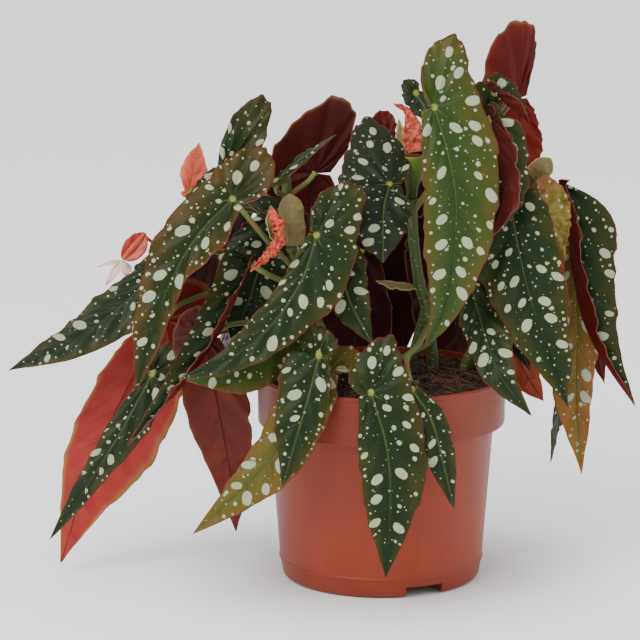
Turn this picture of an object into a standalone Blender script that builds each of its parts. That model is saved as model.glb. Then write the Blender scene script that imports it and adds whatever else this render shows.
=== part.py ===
"""Potted polka dot begonia: a cane begonia with angel-wing leaves in a 12 cm nursery pot.

The pot is turned, the soil fills it, five canes stand in the soil, and every leaf is one
thin solid: a lopsided blade with a slit at its base, and the stalk that carries it from a
cane.  Papery stipules, young leaves and a small flower sit between them.

Lengths in the tables below are millimetres; the model is in metres.  The
tables count from the middle of the pot's foot.  The whole object is then moved by POT_AXIS,
so that the origin lies under the middle of the spread of the leaves.  +Z is up, and the
front of the plant looks along -Y.
"""
import math
from dataclasses import dataclass

import bmesh
import bpy
from mathutils import Vector

MM = 0.001

# ------------------------------------------------------------------ driving dimensions
POT_AXIS = (28.0, -8.4, 0.0)   # where the pot's middle stands
POT_HEIGHT = 99.0
RIM_RADIUS = 60.0          # outside of the deep rim skirt
SKIRT_BOTTOM = 75.4        # height of the skirt's lower edge
BODY_TOP_RADIUS = 53.7     # outside of the wall just under the skirt
BODY_FOOT_RADIUS = 48.8    # outside of the wall at the foot ridge
RIDGE_HEIGHT = 9.0
FOOT_RADIUS = 47.2         # outside of the foot ring where it stands
WALL = 1.5
FLOOR_HEIGHT = 5.0         # the floor is lifted off the surface by this much
FOOT_GATES = (25.0, 145.0, 265.0)   # degrees, where water runs out under the foot ring
GATE_WIDTH = 19.0
GATE_HEIGHT = 4.8
DRAIN_RADIUS = 3.6
DRAIN_RING_RADIUS = 34.0
DRAIN_COUNT = 8
DRAIN_TURN = 7.0           # degrees from the front to the first drain
TURN_STEPS = 40            # faces round the turned pieces

SOIL_EDGE = 95.5           # height of the soil at the wall
SOIL_MIDDLE = 99.5         # height of the soil in the middle
GAP = 0.3                  # clearance between pieces that touch

CANE_RADIUS = 3.0
STALK_RADIUS = 1.6
BLADE_THICKNESS = 0.8
PAPER_THICKNESS = 0.7      # stipules, young leaves and petals

LOBE_RAYS = 7              # faces round the lobe behind the stalk
BLADE_STATIONS = 5         # faces along the midrib
NARROW_RAYS = 2            # faces between the slit and the narrow side
ACROSS = 2                 # faces from the midrib to the margin
VEIN_SWEEP = 0.30          # how far the side veins lean towards the tip


# ------------------------------------------------------------------ scene helpers
def clear_scene():
    for item in list(bpy.data.objects):
        bpy.data.objects.remove(item, do_unlink=True)


def new_collection(name):
    collection = bpy.data.collections.new(name)
    bpy.context.scene.collection.children.link(collection)
    return collection


def material(name, colour, roughness, metallic=0.0):
    found = bpy.data.materials.get(name)
    if found:
        return found
    made = bpy.data.materials.new(name)
    made.use_nodes = True
    shader = made.node_tree.nodes["Principled BSDF"]
    shader.inputs["Base Color"].default_value = (*colour, 1.0)
    shader.inputs["Roughness"].default_value = roughness
    shader.inputs["Metallic"].default_value = metallic
    made.diffuse_color = (*colour, 1.0)
    return made


def add_object(name, mesh, collection, finish=None):
    made = bpy.data.objects.new(name, mesh)
    collection.objects.link(made)
    if finish:
        mesh.materials.append(finish)
    return made


def as_cutter(item):
    item.hide_render = True
    item.display_type = "WIRE"


def add_boolean(target, tool, operation):
    boolean = target.modifiers.new(f"{operation.lower()} {tool.name}", "BOOLEAN")
    boolean.object = tool
    boolean.operation = operation
    boolean.solver = "EXACT"


# ------------------------------------------------------------------ smooth paths
def smooth_point(points, position):
    """Catmull-Rom curve through the points; position runs from 0 to the last index."""
    last = len(points) - 1
    start = min(int(position), last - 1)
    t = position - start
    p1, p2 = points[start], points[start + 1]
    p0 = points[start - 1] if start > 0 else 2 * p1 - p2
    p3 = points[start + 2] if start + 2 <= last else 2 * p2 - p1
    return 0.5 * (
        2 * p1 + (p2 - p0) * t + (2 * p0 - 5 * p1 + 4 * p2 - p3) * t**2 + (3 * p1 - p0 - 3 * p2 + p3) * t**3
    )


def tube_mesh(name, points, radii, spacing, sides_level=1):
    """A round tube through the points (millimetres), with closed, welded ends."""
    points = [Vector(p) for p in points]
    length = sum((b - a).length for a, b in zip(points, points[1:]))
    count = max(3, round(length / spacing))
    curve = bpy.data.curves.new(name, "CURVE")
    curve.dimensions = "3D"
    curve.bevel_depth = MM
    curve.bevel_resolution = sides_level
    curve.use_fill_caps = True
    spline = curve.splines.new("POLY")
    spline.points.add(count)
    for index, point in enumerate(spline.points):
        position = index / count * (len(points) - 1)
        along = index / count * (len(radii) - 1)
        lower = min(int(along), len(radii) - 2)
        point.co = (*(smooth_point(points, position) * MM), 1.0)
        point.radius = radii[lower] + (radii[lower + 1] - radii[lower]) * (along - lower)
    guide = bpy.data.objects.new(name + " path", curve)
    bpy.context.scene.collection.objects.link(guide)
    bpy.context.view_layer.update()
    mesh = bpy.data.meshes.new_from_object(guide.evaluated_get(bpy.context.evaluated_depsgraph_get()))
    bpy.data.objects.remove(guide, do_unlink=True)
    bpy.data.curves.remove(curve)
    shell = bmesh.new()
    shell.from_mesh(mesh)
    bmesh.ops.remove_doubles(shell, verts=shell.verts, dist=0.00001)
    bmesh.ops.recalc_face_normals(shell, faces=shell.faces)
    shell.to_mesh(mesh)
    shell.free()
    mesh.materials.clear()
    mesh.name = name
    mesh.shade_smooth()
    return mesh


def turned_object(name, profile, collection, finish):
    """Turn a profile of (radius, height) points, which runs down its outer side."""
    mesh = bpy.data.meshes.new(name)
    outline = bmesh.new()
    corners = [outline.verts.new((radius * MM, 0.0, height * MM)) for radius, height in profile]
    for upper, lower in zip(corners, corners[1:]):
        outline.edges.new((upper, lower))
    outline.to_mesh(mesh)
    outline.free()
    made = add_object(name, mesh, collection, finish)
    turn = made.modifiers.new("turn", "SCREW")
    turn.steps = TURN_STEPS
    turn.render_steps = TURN_STEPS
    turn.use_merge_vertices = True
    turn.merge_threshold = 0.00001
    return made


# ------------------------------------------------------------------ pot and soil
def inner_radius(height):
    """Inside of the pot's tapered wall at a height below the skirt's step."""
    slope = (BODY_TOP_RADIUS - BODY_FOOT_RADIUS) / (SKIRT_BOTTOM - RIDGE_HEIGHT)
    return BODY_FOOT_RADIUS + slope * (height - RIDGE_HEIGHT) - WALL


def make_pot(collection, tools):
    floor_top = FLOOR_HEIGHT + WALL
    profile = [
        (0.0, floor_top),
        (inner_radius(floor_top) - 2.0, floor_top),
        (inner_radius(floor_top + 2.0), floor_top + 2.0),
        (inner_radius(SKIRT_BOTTOM), SKIRT_BOTTOM),
        (inner_radius(SKIRT_BOTTOM) + 0.6, SKIRT_BOTTOM + WALL),
        (RIM_RADIUS - 3.0, SKIRT_BOTTOM + 2.0 * WALL),
        (RIM_RADIUS - 1.8, POT_HEIGHT - 0.6),
        (RIM_RADIUS - 0.9, POT_HEIGHT),
        (RIM_RADIUS - 0.2, POT_HEIGHT - 0.4),
        (RIM_RADIUS, POT_HEIGHT - 1.4),
        (RIM_RADIUS - 0.8, SKIRT_BOTTOM + 0.8),
        (RIM_RADIUS - 2.0, SKIRT_BOTTOM),
        (BODY_TOP_RADIUS + 0.6, SKIRT_BOTTOM + 0.1),
        (BODY_TOP_RADIUS, SKIRT_BOTTOM - 0.8),
        (BODY_FOOT_RADIUS + 0.1, RIDGE_HEIGHT + 1.0),
        (BODY_FOOT_RADIUS + 0.6, RIDGE_HEIGHT),
        (BODY_FOOT_RADIUS - 0.1, RIDGE_HEIGHT - 1.2),
        (FOOT_RADIUS + 0.4, 2.0),
        (FOOT_RADIUS, 0.6),
        (FOOT_RADIUS - 0.8, 0.0),
        (FOOT_RADIUS - 2.6, 0.0),
        (FOOT_RADIUS - 3.0, 0.6),
        (FOOT_RADIUS - 3.2, FLOOR_HEIGHT),
        (0.0, FLOOR_HEIGHT),
    ]
    plastic = material("terracotta plastic", (0.38, 0.10, 0.05), 0.42)
    pot = turned_object("pot", profile, collection, plastic)
    for number, angle in enumerate(FOOT_GATES):
        turn = math.radians(angle - 90.0)
        gate = box(f"gate {number}", (16.0, GATE_WIDTH, 2 * GATE_HEIGHT), tools)
        gate.location = Vector((math.cos(turn), math.sin(turn), 0.0)) * (FOOT_RADIUS - 1.5) * MM
        gate.rotation_euler.z = turn
        add_boolean(pot, gate, "DIFFERENCE")
    for number in range(DRAIN_COUNT):
        turn = math.tau * number / DRAIN_COUNT + math.radians(DRAIN_TURN - 90.0)
        drain = drill(f"drain {number}", DRAIN_RADIUS, 4.0 * WALL, tools)
        drain.location = Vector((math.cos(turn) * DRAIN_RING_RADIUS,
                                 math.sin(turn) * DRAIN_RING_RADIUS,
                                 FLOOR_HEIGHT + WALL / 2)) * MM
        add_boolean(pot, drain, "DIFFERENCE")
    return pot


def box(name, size, tools):
    mesh = bpy.data.meshes.new(name)
    shape = bmesh.new()
    bmesh.ops.create_cube(shape, size=1.0)
    bmesh.ops.scale(shape, vec=Vector(size) * MM, verts=shape.verts)
    shape.to_mesh(mesh)
    shape.free()
    made = add_object(name, mesh, tools)
    as_cutter(made)
    return made


def drill(name, radius, depth, tools):
    mesh = bpy.data.meshes.new(name)
    shape = bmesh.new()
    bmesh.ops.create_cone(shape, cap_ends=True, segments=12, radius1=radius * MM, radius2=radius * MM,
                          depth=depth * MM)
    shape.to_mesh(mesh)
    shape.free()
    made = add_object(name, mesh, tools)
    as_cutter(made)
    return made


def make_soil(collection, tools):
    bottom = FLOOR_HEIGHT + WALL + GAP
    step = SKIRT_BOTTOM + 2.0 * WALL + GAP
    profile = [
        (0.0, SOIL_MIDDLE),
        (26.0, SOIL_MIDDLE - 0.8),
        (46.0, SOIL_EDGE + 1.4),
        (RIM_RADIUS - 2.2 - GAP, SOIL_EDGE),
        (RIM_RADIUS - 3.2 - GAP, step),
        (inner_radius(SKIRT_BOTTOM) - GAP, step - WALL),
        (inner_radius(SKIRT_BOTTOM) - GAP, SKIRT_BOTTOM),
        (inner_radius(bottom + 2.5) - GAP, bottom + 2.5),
        (inner_radius(bottom) - 3.2, bottom),
        (0.0, bottom),
    ]
    peat = material("peat and coir", (0.045, 0.028, 0.018), 0.95)
    soil = turned_object("potting_soil", profile, collection, peat)
    for name, points in CANES.items():
        deeper = [Vector(points[0]) - Vector((0, 0, 2 * GAP)), *points[1:]]
        hole = add_object(f"hole {name}", tube_mesh(f"hole {name}", deeper, (CANE_RADIUS + GAP,) * 2, 12.0, 2),
                          tools)
        as_cutter(hole)
        add_boolean(soil, hole, "DIFFERENCE")
    return soil


# ------------------------------------------------------------------ canes
# Points up the middle of each cane, millimetres, from the roots to the top node.
CANES = {
    "cane_centre": [(26, 6, 66), (25, 6, 98), (22, 4, 126), (18, 2, 142), (15, 0, 163), (14, 0, 183)],
    "cane_left": [(-14, -4, 66), (-18, -6, 98), (-29, -11, 122), (-38, -19, 143), (-43, -25, 164)],
    "cane_right": [(36, 8, 66), (40, 8, 98), (54, 8, 128), (65, 8, 155), (69, 7, 182)],
    "cane_back_left": [(-22, 22, 66), (-25, 24, 98), (-35, 31, 130), (-44, 36, 160), (-46, 36, 188)],
    "cane_back_right": [(13, 30, 66), (16, 32, 98), (26, 38, 135), (34, 42, 170), (38, 42, 208)],
}


def cane_point(cane, height):
    """The point on a cane's middle line at a height."""
    points = [Vector(p) for p in CANES[cane]]
    low, high = 0.0, float(len(points) - 1)
    for _ in range(30):
        middle = (low + high) / 2
        if smooth_point(points, middle).z < height:
            low = middle
        else:
            high = middle
    return smooth_point(points, low)


def make_canes(collection):
    skin = material("cane skin", (0.13, 0.18, 0.05), 0.45)
    for name, points in CANES.items():
        add_object(name, tube_mesh(name, points, (CANE_RADIUS, CANE_RADIUS * 0.92), 12.0, 2), collection, skin)


# ------------------------------------------------------------------ leaves
@dataclass
class Leaf:
    """One leaf.  Points and widths in millimetres, angles in degrees.

    midrib: from the junction with the stalk to the tip.
    face: which way the upper side looks at the junction, and face_tip at the tip.
    side: +1 puts the wide half to the right as seen from the face with the tip down.
    tilt: how far the lobe behind the stalk rises from the blade, and lean: how far its top
    shifts towards the wide half.
    neck: width of the lobe beside the slit, as a share of the narrow half, and slope: how
    much slimmer the lobe is on its wide shoulder.
    waist: how much slimmer the wide half is along its middle.
    narrow_edge: for an uneven narrow half, pairs of (share of the midrib, half-width).
    fold, curl: slope beside the midrib and extra turn out to the margin, wide and narrow half.
    stalk: the cane it grows from, the height there, and points on the way.
    """
    midrib: tuple
    face: tuple
    wide: float
    narrow: float
    lobe: float
    side: int
    stalk: tuple = None
    face_tip: tuple = None
    tilt: float = 0.0
    lean: float = 0.0
    neck: float = 1.0
    slope: float = 0.0
    waist: float = 0.0
    narrow_edge: tuple = ()
    fold: tuple = (8, 8)
    curl: tuple = (-20, -20)
    tone: str = "green"


LEAVES = {
    # the leaves that make the front
    "leaf_tall_front": Leaf(
        [(23, -44, 233), (30, -50, 209), (33, -53, 184), (29, -52, 144), (19, -48, 120)], (0, -1, 0.2),
        22, 15, 30, 1, ("cane_centre", 176, (30, -33, 222), (28, -12, 200)), lean=9, neck=0.4,
        waist=0.04, tone="olive"),
    "leaf_over_rim_front": Leaf(
        [(-6, -64, 103), (1, -68, 79), (3, -71, 54), (1, -74, 17)], (0, -1, 0.15),
        19, 14, 23, 1, ("cane_centre", 112, (-4, -54, 109), (6, -32, 111)), tilt=-12, lean=9),
    "leaf_big_left": Leaf(
        [(-70, -42, 190), (-87, -50, 173), (-100, -55, 150), (-108, -58, 127), (-115, -60, 100)],
        (-0.1, -1, 0.3), 16, 15, 28, -1, ("cane_left", 153, (-64, -39, 182), (-52, -31, 166)),
        lean=2, narrow_edge=((0, 7), (0.2, 15), (0.3, 13), (0.42, 7), (0.7, 6), (1, 0)),
        curl=(-20, 40), tone="gold"),
    "leaf_reaching_left": Leaf(
        [(-103, -6, 158), (-119, -12, 138), (-145, -20, 119), (-177, -26, 105)], (-0.1, -0.9, 0.45),
        14, 11, 20, 1, ("cane_back_left", 142, (-94, 12, 157), (-72, 22, 152)), tone="olive"),
    "leaf_diagonal": Leaf(
        [(-31, -48, 174), (-38, -54, 154), (-53, -60, 133), (-73, -64, 118), (-94, -66, 110)],
        (0.1, -1, 0.35), 20, 9, 28, 1, ("cane_left", 157, (-35, -40, 170)), lean=4, waist=0.3),
    "leaf_upper_left": Leaf(
        [(-75, 10, 195), (-82, 5, 174), (-88, 2, 152)], (-0.1, -1, 0.1),
        14, 13, 40, 1, ("cane_back_left", 160, (-72, 18, 186), (-58, 28, 172)), lean=5, neck=0.75),
    "leaf_edge_on_left": Leaf(
        [(-50, -8, 193), (-38, -2, 203), (-22, 6, 213)], (-0.2, -0.15, 1),
        6, 4, 4, -1, ("cane_back_left", 184, (-50, 4, 186), (-47, 20, 182))),
    "leaf_red_back_left": Leaf(
        [(-32, 46, 188), (-36, 50, 160), (-42, 52, 132)], (0.1, 1, 0.3),
        23, 18, 39, 1, ("cane_back_left", 178, (-36, 42, 184)), lean=-12, waist=-0.35, tone="red"),
    "leaf_middle": Leaf(
        [(3, -18, 193), (0, -31, 182), (0, -34, 158)], (0, -0.95, 0.35),
        24, 13, 37, -1, ("cane_centre", 168, (7, -10, 186)), lean=11, face_tip=(0, -1, 0.1), tone="dark"),
    "leaf_big_right": Leaf(
        [(59, -24, 190), (63, -32, 166), (69, -38, 141), (78, -42, 116), (87, -44, 91)], (-0.1, -1, 0.3),
        23, 19, 8, -1, ("cane_right", 172, (62, -14, 184)), waist=0.1,
        narrow_edge=((0, 12), (0.1, 17), (0.3, 19), (0.5, 17), (0.75, 10), (1, 0))),
    "leaf_folded_right": Leaf(
        [(50, -30, 226), (54, -34, 206), (55, -38, 188), (48, -38, 168)], (0.3, -1, 0.2),
        15, 10, 7, 1, ("cane_back_right", 196, (43, -18, 214), (34, 6, 205)), neck=0.4, slope=0.6,
        fold=(10, 140)),
    "leaf_folded_top_right": Leaf(
        [(52, -16, 236), (57, -15, 231), (63, -14, 226), (69, -13, 221)], (0.8, 0, 0.6),
        10, 6, 7, 1, ("cane_back_right", 196, (61, -6, 232), (51, 18, 214)), fold=(58, 62),
        curl=(10, 15)),
    "leaf_behind_top_right": Leaf(
        [(51, -4, 222), (52, -8, 200), (53, -8, 178)], (0, -1, 0.2),
        12, 8, 18, -1, ("cane_back_right", 186, (48, 8, 213), (43, 24, 198))),
    "leaf_top_red": Leaf(
        [(66, 32, 226.5), (68, 35, 206), (73, 32, 180)], (0.1, 1, 0.1),
        19, 10, 40, 1, ("cane_back_right", 200, (59, 34, 221), (47, 39, 209)), lean=-9, tone="red"),
    "leaf_far_right": Leaf(
        [(85, 8, 188), (89, 4, 167), (91, 0, 148), (97, -5, 123), (106, -10, 106), (121, -14, 85)],
        (-0.1, -1, 0.1), 22, 10, 3, 1, ("cane_right", 174, (80, 9, 186)), slope=0.85, fold=(5, 140)),
    "leaf_amber_right": Leaf(
        [(92, 14, 158), (94, 8, 123), (94, 4, 84), (97, 2, 47)], (0, -1, 0.1),
        14, 10, 10, -1, ("cane_right", 162, (80, 13, 162)), waist=-0.25, tone="brown"),
    "leaf_over_rim_right": Leaf(
        [(40, -20, 152), (45, -30, 133), (54, -46, 108), (69, -52, 89)], (-0.2, -1, 0.3),
        14, 10, 8, 1, ("cane_centre", 132, (36, -12, 147), (29, -4, 138))),
    "leaf_dry_curled": Leaf(
        [(60, -8, 120), (67, -12, 103), (77, -16, 88)], (-0.3, 1, 0.2),
        11, 10, 6, -1, ("cane_right", 124, (58, -2, 123)), curl=(70, 60), tone="dry"),
    "leaf_shaded_right": Leaf(
        [(60, -8, 154), (61, -16, 130), (70, -24, 104)], (0, -1, 0.2),
        11, 9, 12, 1, ("cane_right", 148, (62, -2, 153)), tone="dark"),
    "leaf_over_rim_left": Leaf(
        [(-30, -58, 119), (-35, -65, 101), (-40, -68, 84), (-47, -72, 60)], (-0.1, -1, 0.2),
        15, 10, 14, -1, ("cane_left", 122, (-31, -48, 129), (-30, -28, 128))),
    "leaf_yellow_left": Leaf(
        [(-26, -47, 110), (-36, -62, 96), (-56, -64, 67), (-89, -66, 36)], (0, -1, 0.4),
        13, 14, 19, -1, ("cane_left", 104, (-23, -38, 111), (-20, -22, 108)), lean=-11, tone="amber"),
    "leaf_narrow_front": Leaf(
        [(13, -61.6, 104), (22, -64, 90), (28, -63, 68), (33, -64, 47)], (0, -1, 0.1),
        11, 7, 4, -1, ("cane_centre", 121, (11, -44, 114), (17, -22, 117))),
    "leaf_under_diagonal": Leaf(
        [(-46, -40, 128), (-67, -51, 112), (-92, -56, 107)], (0, -1, 0.4),
        16, 10, 12, 1, ("cane_left", 113, (-44, -34, 122), (-35, -23, 114)), tone="olive"),
    # leaves that hang at the left, two of them with their red underside to the front
    "leaf_hanging_red_middle": Leaf(
        [(-83, -26, 120), (-77, -34, 88), (-72, -38, 60), (-69, -40, 30)], (0.2, 1, 0.2),
        17, 15, 16, 1, ("cane_left", 126, (-72, -25, 127), (-50, -17, 127)), tone="red"),
    "leaf_hanging_red_left": Leaf(
        [(-104, 8, 123), (-123, 4, 88), (-141, 0, 49), (-155, -6, 5)], (0.1, 1, 0.3),
        25, 16, 24, -1, ("cane_back_left", 126, (-94, 6, 132), (-70, 14, 136)), waist=-0.3, tone="red"),
    "leaf_olive_left": Leaf(
        [(-109, -24, 103), (-124, -30, 76), (-140, -34, 51), (-158, -36, 25)], (0, -1, 0.2),
        12, 7, 17, 1, ("cane_back_left", 118, (-99, -16, 111), (-80, -6, 119)), waist=0.3, tone="olive"),
    "leaf_long_left": Leaf(
        [(-62, -26, 156), (-75, -36, 129), (-89, -43, 108), (-104, -47, 91), (-120, -50, 74)],
        (0.1, -1, 0.2), 13, 7, 6, -1, ("cane_left", 143, (-52, -24, 150)), fold=(8, 100), curl=(-20, 30)),
    "leaf_shaded_left": Leaf(
        [(-50, -2, 174), (-58, -10, 153), (-64, -16, 135), (-72, -20, 119)], (0, -1, 0.2),
        16, 19, 10, 1, ("cane_back_left", 150, (-46, 10, 167)), tone="dark"),
    "leaf_small_centre": Leaf(
        [(-20, -36, 161), (-16, -42, 143), (-5, -48, 122)], (0, -1, 0.2),
        11, 9, 8, 1, ("cane_left", 148, (-28, -29, 158))),
    # small leaves and tips that show between the others
    "leaf_behind_tall": Leaf(
        [(15.5, -10, 235), (20.5, -14, 227), (24, -16, 221)], (-0.3, -1, 0.1),
        7, 5, 8, -1, ("cane_back_right", 200, (20, 2, 230), (30, 24, 212)), tone="dark"),
    "leaf_red_tip_back": Leaf(
        [(1, 16, 209), (-1, 14, 190), (-5, 12, 170)], (0.1, 1, 0.2),
        9, 8, 14, 1, ("cane_back_right", 180, (8, 18, 204), (20, 30, 194)), tone="red"),
    "leaf_purple_tip_right": Leaf(
        [(94, 26, 136), (102, 24, 112), (109, 22, 88)], (0, 1, 0.2),
        8, 7, 8, 1, ("cane_right", 142, (80, 20, 140)), tone="red"),
    "leaf_sliver_right": Leaf(
        [(93, 22, 104), (87, 18, 76), (83, 16, 50)], (1, -0.6, 0.2),
        7, 6, 6, 1, ("cane_right", 120, (78, 18, 114)), tone="dark"),
    # the back of the plant
    "leaf_back_high_left": Leaf(
        [(-66, 64, 180), (-80, 78, 152), (-92, 88, 104)], (-0.5, 1, 0.3),
        22, 15, 24, 1, ("cane_back_left", 170, (-61, 50, 180))),
    "leaf_back_middle": Leaf(
        [(8, 60, 186), (10, 76, 150), (12, 82, 88)], (0, 1, 0.35),
        27, 21, 26, -1, ("cane_back_right", 172, (14, 56, 188), (24, 49, 182))),
    "leaf_back_right": Leaf(
        [(46, 68, 204), (56, 84, 166), (62, 90, 110)], (0.2, 1, 0.3),
        22, 14, 26, 1, ("cane_back_right", 190, (42, 58, 202)), tone="olive"),
    "leaf_back_low_right": Leaf(
        [(74, 46, 150), (92, 56, 112), (104, 60, 62)], (1, 0.2, 0.3),
        22, 16, 24, -1, ("cane_right", 134, (66, 30, 150))),
    "leaf_back_low_left": Leaf(
        [(-64, 56, 132), (-78, 66, 96), (-84, 68, 52)], (-1, 0.3, 0.3),
        20, 15, 20, -1, ("cane_back_left", 134, (-54, 44, 138))),
    "leaf_back_low_middle": Leaf(
        [(-8, 62, 146), (-12, 73, 100), (-16, 78, 36)], (0, 1, 0.2),
        22, 18, 20, 1, ("cane_back_left", 128, (-14, 60, 148), (-28, 46, 140))),
    "leaf_back_low_centre": Leaf(
        [(34, 56, 148), (39, 68, 102), (44, 76, 40)], (0.1, 1, 0.2),
        22, 19, 22, 1, ("cane_back_right", 136, (32, 48, 148))),
    "leaf_side_left": Leaf(
        [(-74, 31, 118), (-81, 34, 88), (-82, 34, 50)], (-1, 0.1, 0.2),
        19, 15, 18, 1, ("cane_back_left", 112, (-66, 29, 124), (-44, 28, 120))),
}

# Upper-side and underside colours of the CAD leaves by tone.
LEAF_TONES = {
    "green": (0.055, 0.12, 0.035),
    "dark": (0.03, 0.06, 0.03),
    "olive": (0.12, 0.14, 0.035),
    "gold": (0.17, 0.13, 0.035),
    "amber": (0.25, 0.22, 0.05),
    "brown": (0.20, 0.11, 0.03),
    "red": (0.30, 0.04, 0.025),
    "dry": (0.32, 0.08, 0.03),
    "coral": (0.60, 0.14, 0.09),
}

# The lobe behind the stalk, from the slit round to the wide half.  Each point is (back, out):
# back in lobe lengths, out in wide half-widths, or in narrow ones where it is negative.
LOBE_OUTLINE = [(-0.04, -0.42), (-0.38, -0.68), (-0.76, -0.52), (-1.0, 0.16), (-0.86, 0.62), (-0.45, 0.88),
                (-0.05, 0.97), (0.25, 1.0)]


def wide_half(u):
    """Half-width of the wide side at a share u of the midrib, as a share of its widest."""
    start = VEIN_SWEEP / (1 + VEIN_SWEEP)
    x = max(0.0, (u - start) / (1 - start))
    return (1 - min(1.0, x) ** 1.9) ** 1.1


def narrow_half(u, leaf):
    """Half-width of the narrow side in millimetres, widest at four tenths of the midrib."""
    for (low, first), (high, second) in zip(leaf.narrow_edge, leaf.narrow_edge[1:]):
        if u <= high:
            return first + (second - first) * (u - low) / (high - low)
    widest = 0.4
    if u < widest:
        return leaf.narrow * (0.42 + 0.58 * math.sin(math.pi / 2 * u / widest))
    return leaf.narrow * (1 - min(1.0, (u - widest) / (1 - widest)) ** 2) ** 1.1


def outline_row(column, leaf, length):
    """Spine point and margin point (along, out) in millimetres for a column of the grid."""
    start = VEIN_SWEEP / (1 + VEIN_SWEEP)
    if column <= LOBE_RAYS:
        rays = [Vector(p) for p in LOBE_OUTLINE]
        back, out = smooth_point(rays, column / LOBE_RAYS * (len(rays) - 1))
        along = back * leaf.lobe if back < 0 else back / LOBE_OUTLINE[-1][0] * start * length
        shift = leaf.lean * min(0.0, back) ** 2
        if out > 0:
            slim = 1 - leaf.slope * (1 - max(0.0, back) / LOBE_OUTLINE[-1][0]) ** 2.5
            return 0.0, along, out * leaf.wide * slim + shift
        return 0.0, along, out * leaf.narrow * leaf.neck + shift
    column -= LOBE_RAYS
    if column <= BLADE_STATIONS:
        spine = column / BLADE_STATIONS
        u = (spine + VEIN_SWEEP) / (1 + VEIN_SWEEP)
        slim = 1 - leaf.waist * math.sin(math.pi * spine)
        return spine * length, u * length, wide_half(u) * leaf.wide * slim
    column -= BLADE_STATIONS
    if column <= BLADE_STATIONS:
        spine = 1 - column / BLADE_STATIONS
        u = (spine + VEIN_SWEEP) / (1 + VEIN_SWEEP)
        return spine * length, u * length, -narrow_half(u, leaf)
    u = start * (1 - (column - BLADE_STATIONS) / NARROW_RAYS)
    return 0.0, u * length, -narrow_half(u, leaf)


def arc(slope, turn, distance):
    """Sideways and upward reach of an arc that starts at a slope and turns evenly (radians)."""
    if abs(turn) < 1e-4:
        return distance * math.cos(slope), distance * math.sin(slope)
    reach = distance / turn
    return (reach * (math.sin(slope + turn) - math.sin(slope)),
            reach * (math.cos(slope) - math.cos(slope + turn)))


class Blade:
    """Lays the flat leaf along its midrib in space."""

    def __init__(self, leaf):
        self.leaf = leaf
        self.points = [Vector(p) for p in leaf.midrib]
        steps = 40
        self.samples = [smooth_point(self.points, i / steps * (len(self.points) - 1)) for i in range(steps + 1)]
        self.lengths = [0.0]
        for a, b in zip(self.samples, self.samples[1:]):
            self.lengths.append(self.lengths[-1] + (b - a).length)
        self.length = self.lengths[-1]

    def place(self, along):
        """Point on the midrib and the tangent there, along in millimetres."""
        index = 0
        while index < len(self.samples) - 2 and self.lengths[index + 1] < along:
            index += 1
        a, b = self.samples[index], self.samples[index + 1]
        share = (along - self.lengths[index]) / (self.lengths[index + 1] - self.lengths[index])
        before = self.samples[max(0, index - 2)]
        after = self.samples[min(len(self.samples) - 1, index + 3)]
        return a + (b - a) * share, (after - before).normalized()

    def frame(self, along):
        """Point, tangent, upward normal and sideways direction, also behind the junction."""
        leaf = self.leaf
        point, tangent = self.place(max(0.0, along))
        face = Vector(leaf.face)
        if leaf.face_tip and along > 0:
            face = face.lerp(Vector(leaf.face_tip), along / self.length)
        normal = (face - tangent * face.dot(tangent)).normalized()
        if along < 0:
            turn = math.radians(leaf.tilt) * along / -leaf.lobe
            back, rise = arc(0.0, turn, -along)
            point = point - tangent * back + normal * rise
            tangent, normal = (tangent * math.cos(turn) - normal * math.sin(turn),
                               normal * math.cos(turn) + tangent * math.sin(turn))
        return point, tangent, normal, normal.cross(tangent) * leaf.side

    def surface(self, along, out):
        """The point of the bent blade for a point of the flat one."""
        leaf = self.leaf
        half = 0 if out > 0 else 1
        width = (leaf.wide, leaf.narrow)[half]
        slope = math.radians(leaf.fold[half])
        turn = math.radians(leaf.curl[half]) * abs(out) / width
        sideways, upward = arc(slope, turn, abs(out))
        point, _, normal, across = self.frame(along)
        return point + across * math.copysign(sideways, out) + normal * upward


def blade_mesh(name, leaf):
    """A grid with one row on the midrib and one on the margin, laid out as the leaf."""
    blade = Blade(leaf)
    columns = LOBE_RAYS + 2 * BLADE_STATIONS + NARROW_RAYS
    grid = bmesh.new()
    bmesh.ops.create_grid(grid, x_segments=columns, y_segments=ACROSS, size=0.5)
    for vert in grid.verts:
        column = round((vert.co.x + 0.5) * columns)
        share = vert.co.y + 0.5
        spine, along, out = outline_row(column, leaf, blade.length)
        vert.co = blade.surface(spine + (along - spine) * share, out * share) * MM
    bmesh.ops.remove_doubles(grid, verts=grid.verts, dist=0.00002)
    bmesh.ops.dissolve_degenerate(grid, dist=0.000001, edges=grid.edges)
    middle = blade.frame(0.3 * blade.length)[2]
    if sum((face.normal.dot(middle) for face in grid.faces)) < 0:
        bmesh.ops.reverse_faces(grid, faces=grid.faces)
    mesh = bpy.data.meshes.new(name)
    grid.to_mesh(mesh)
    grid.free()
    mesh.shade_smooth()
    return mesh, blade


def stalk_points(blade):
    """From inside the blade's thickness to just short of the cane's skin."""
    cane, height, *way = blade.leaf.stalk
    point, _, normal, _ = blade.frame(0.0)
    way = [point - normal * BLADE_THICKNESS * 0.5, *[Vector(p) for p in way]]
    root = cane_point(cane, height)
    cane_way = (cane_point(cane, height + 1.0) - cane_point(cane, height - 1.0)).normalized()
    towards = way[-1] - root
    lean = abs(towards.normalized().dot(cane_way))
    clear = CANE_RADIUS * 0.97 + GAP + STALK_RADIUS * 0.87 * lean
    share = clear / (towards - cane_way * towards.dot(cane_way)).length
    return [*way, root + towards * share]


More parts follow.
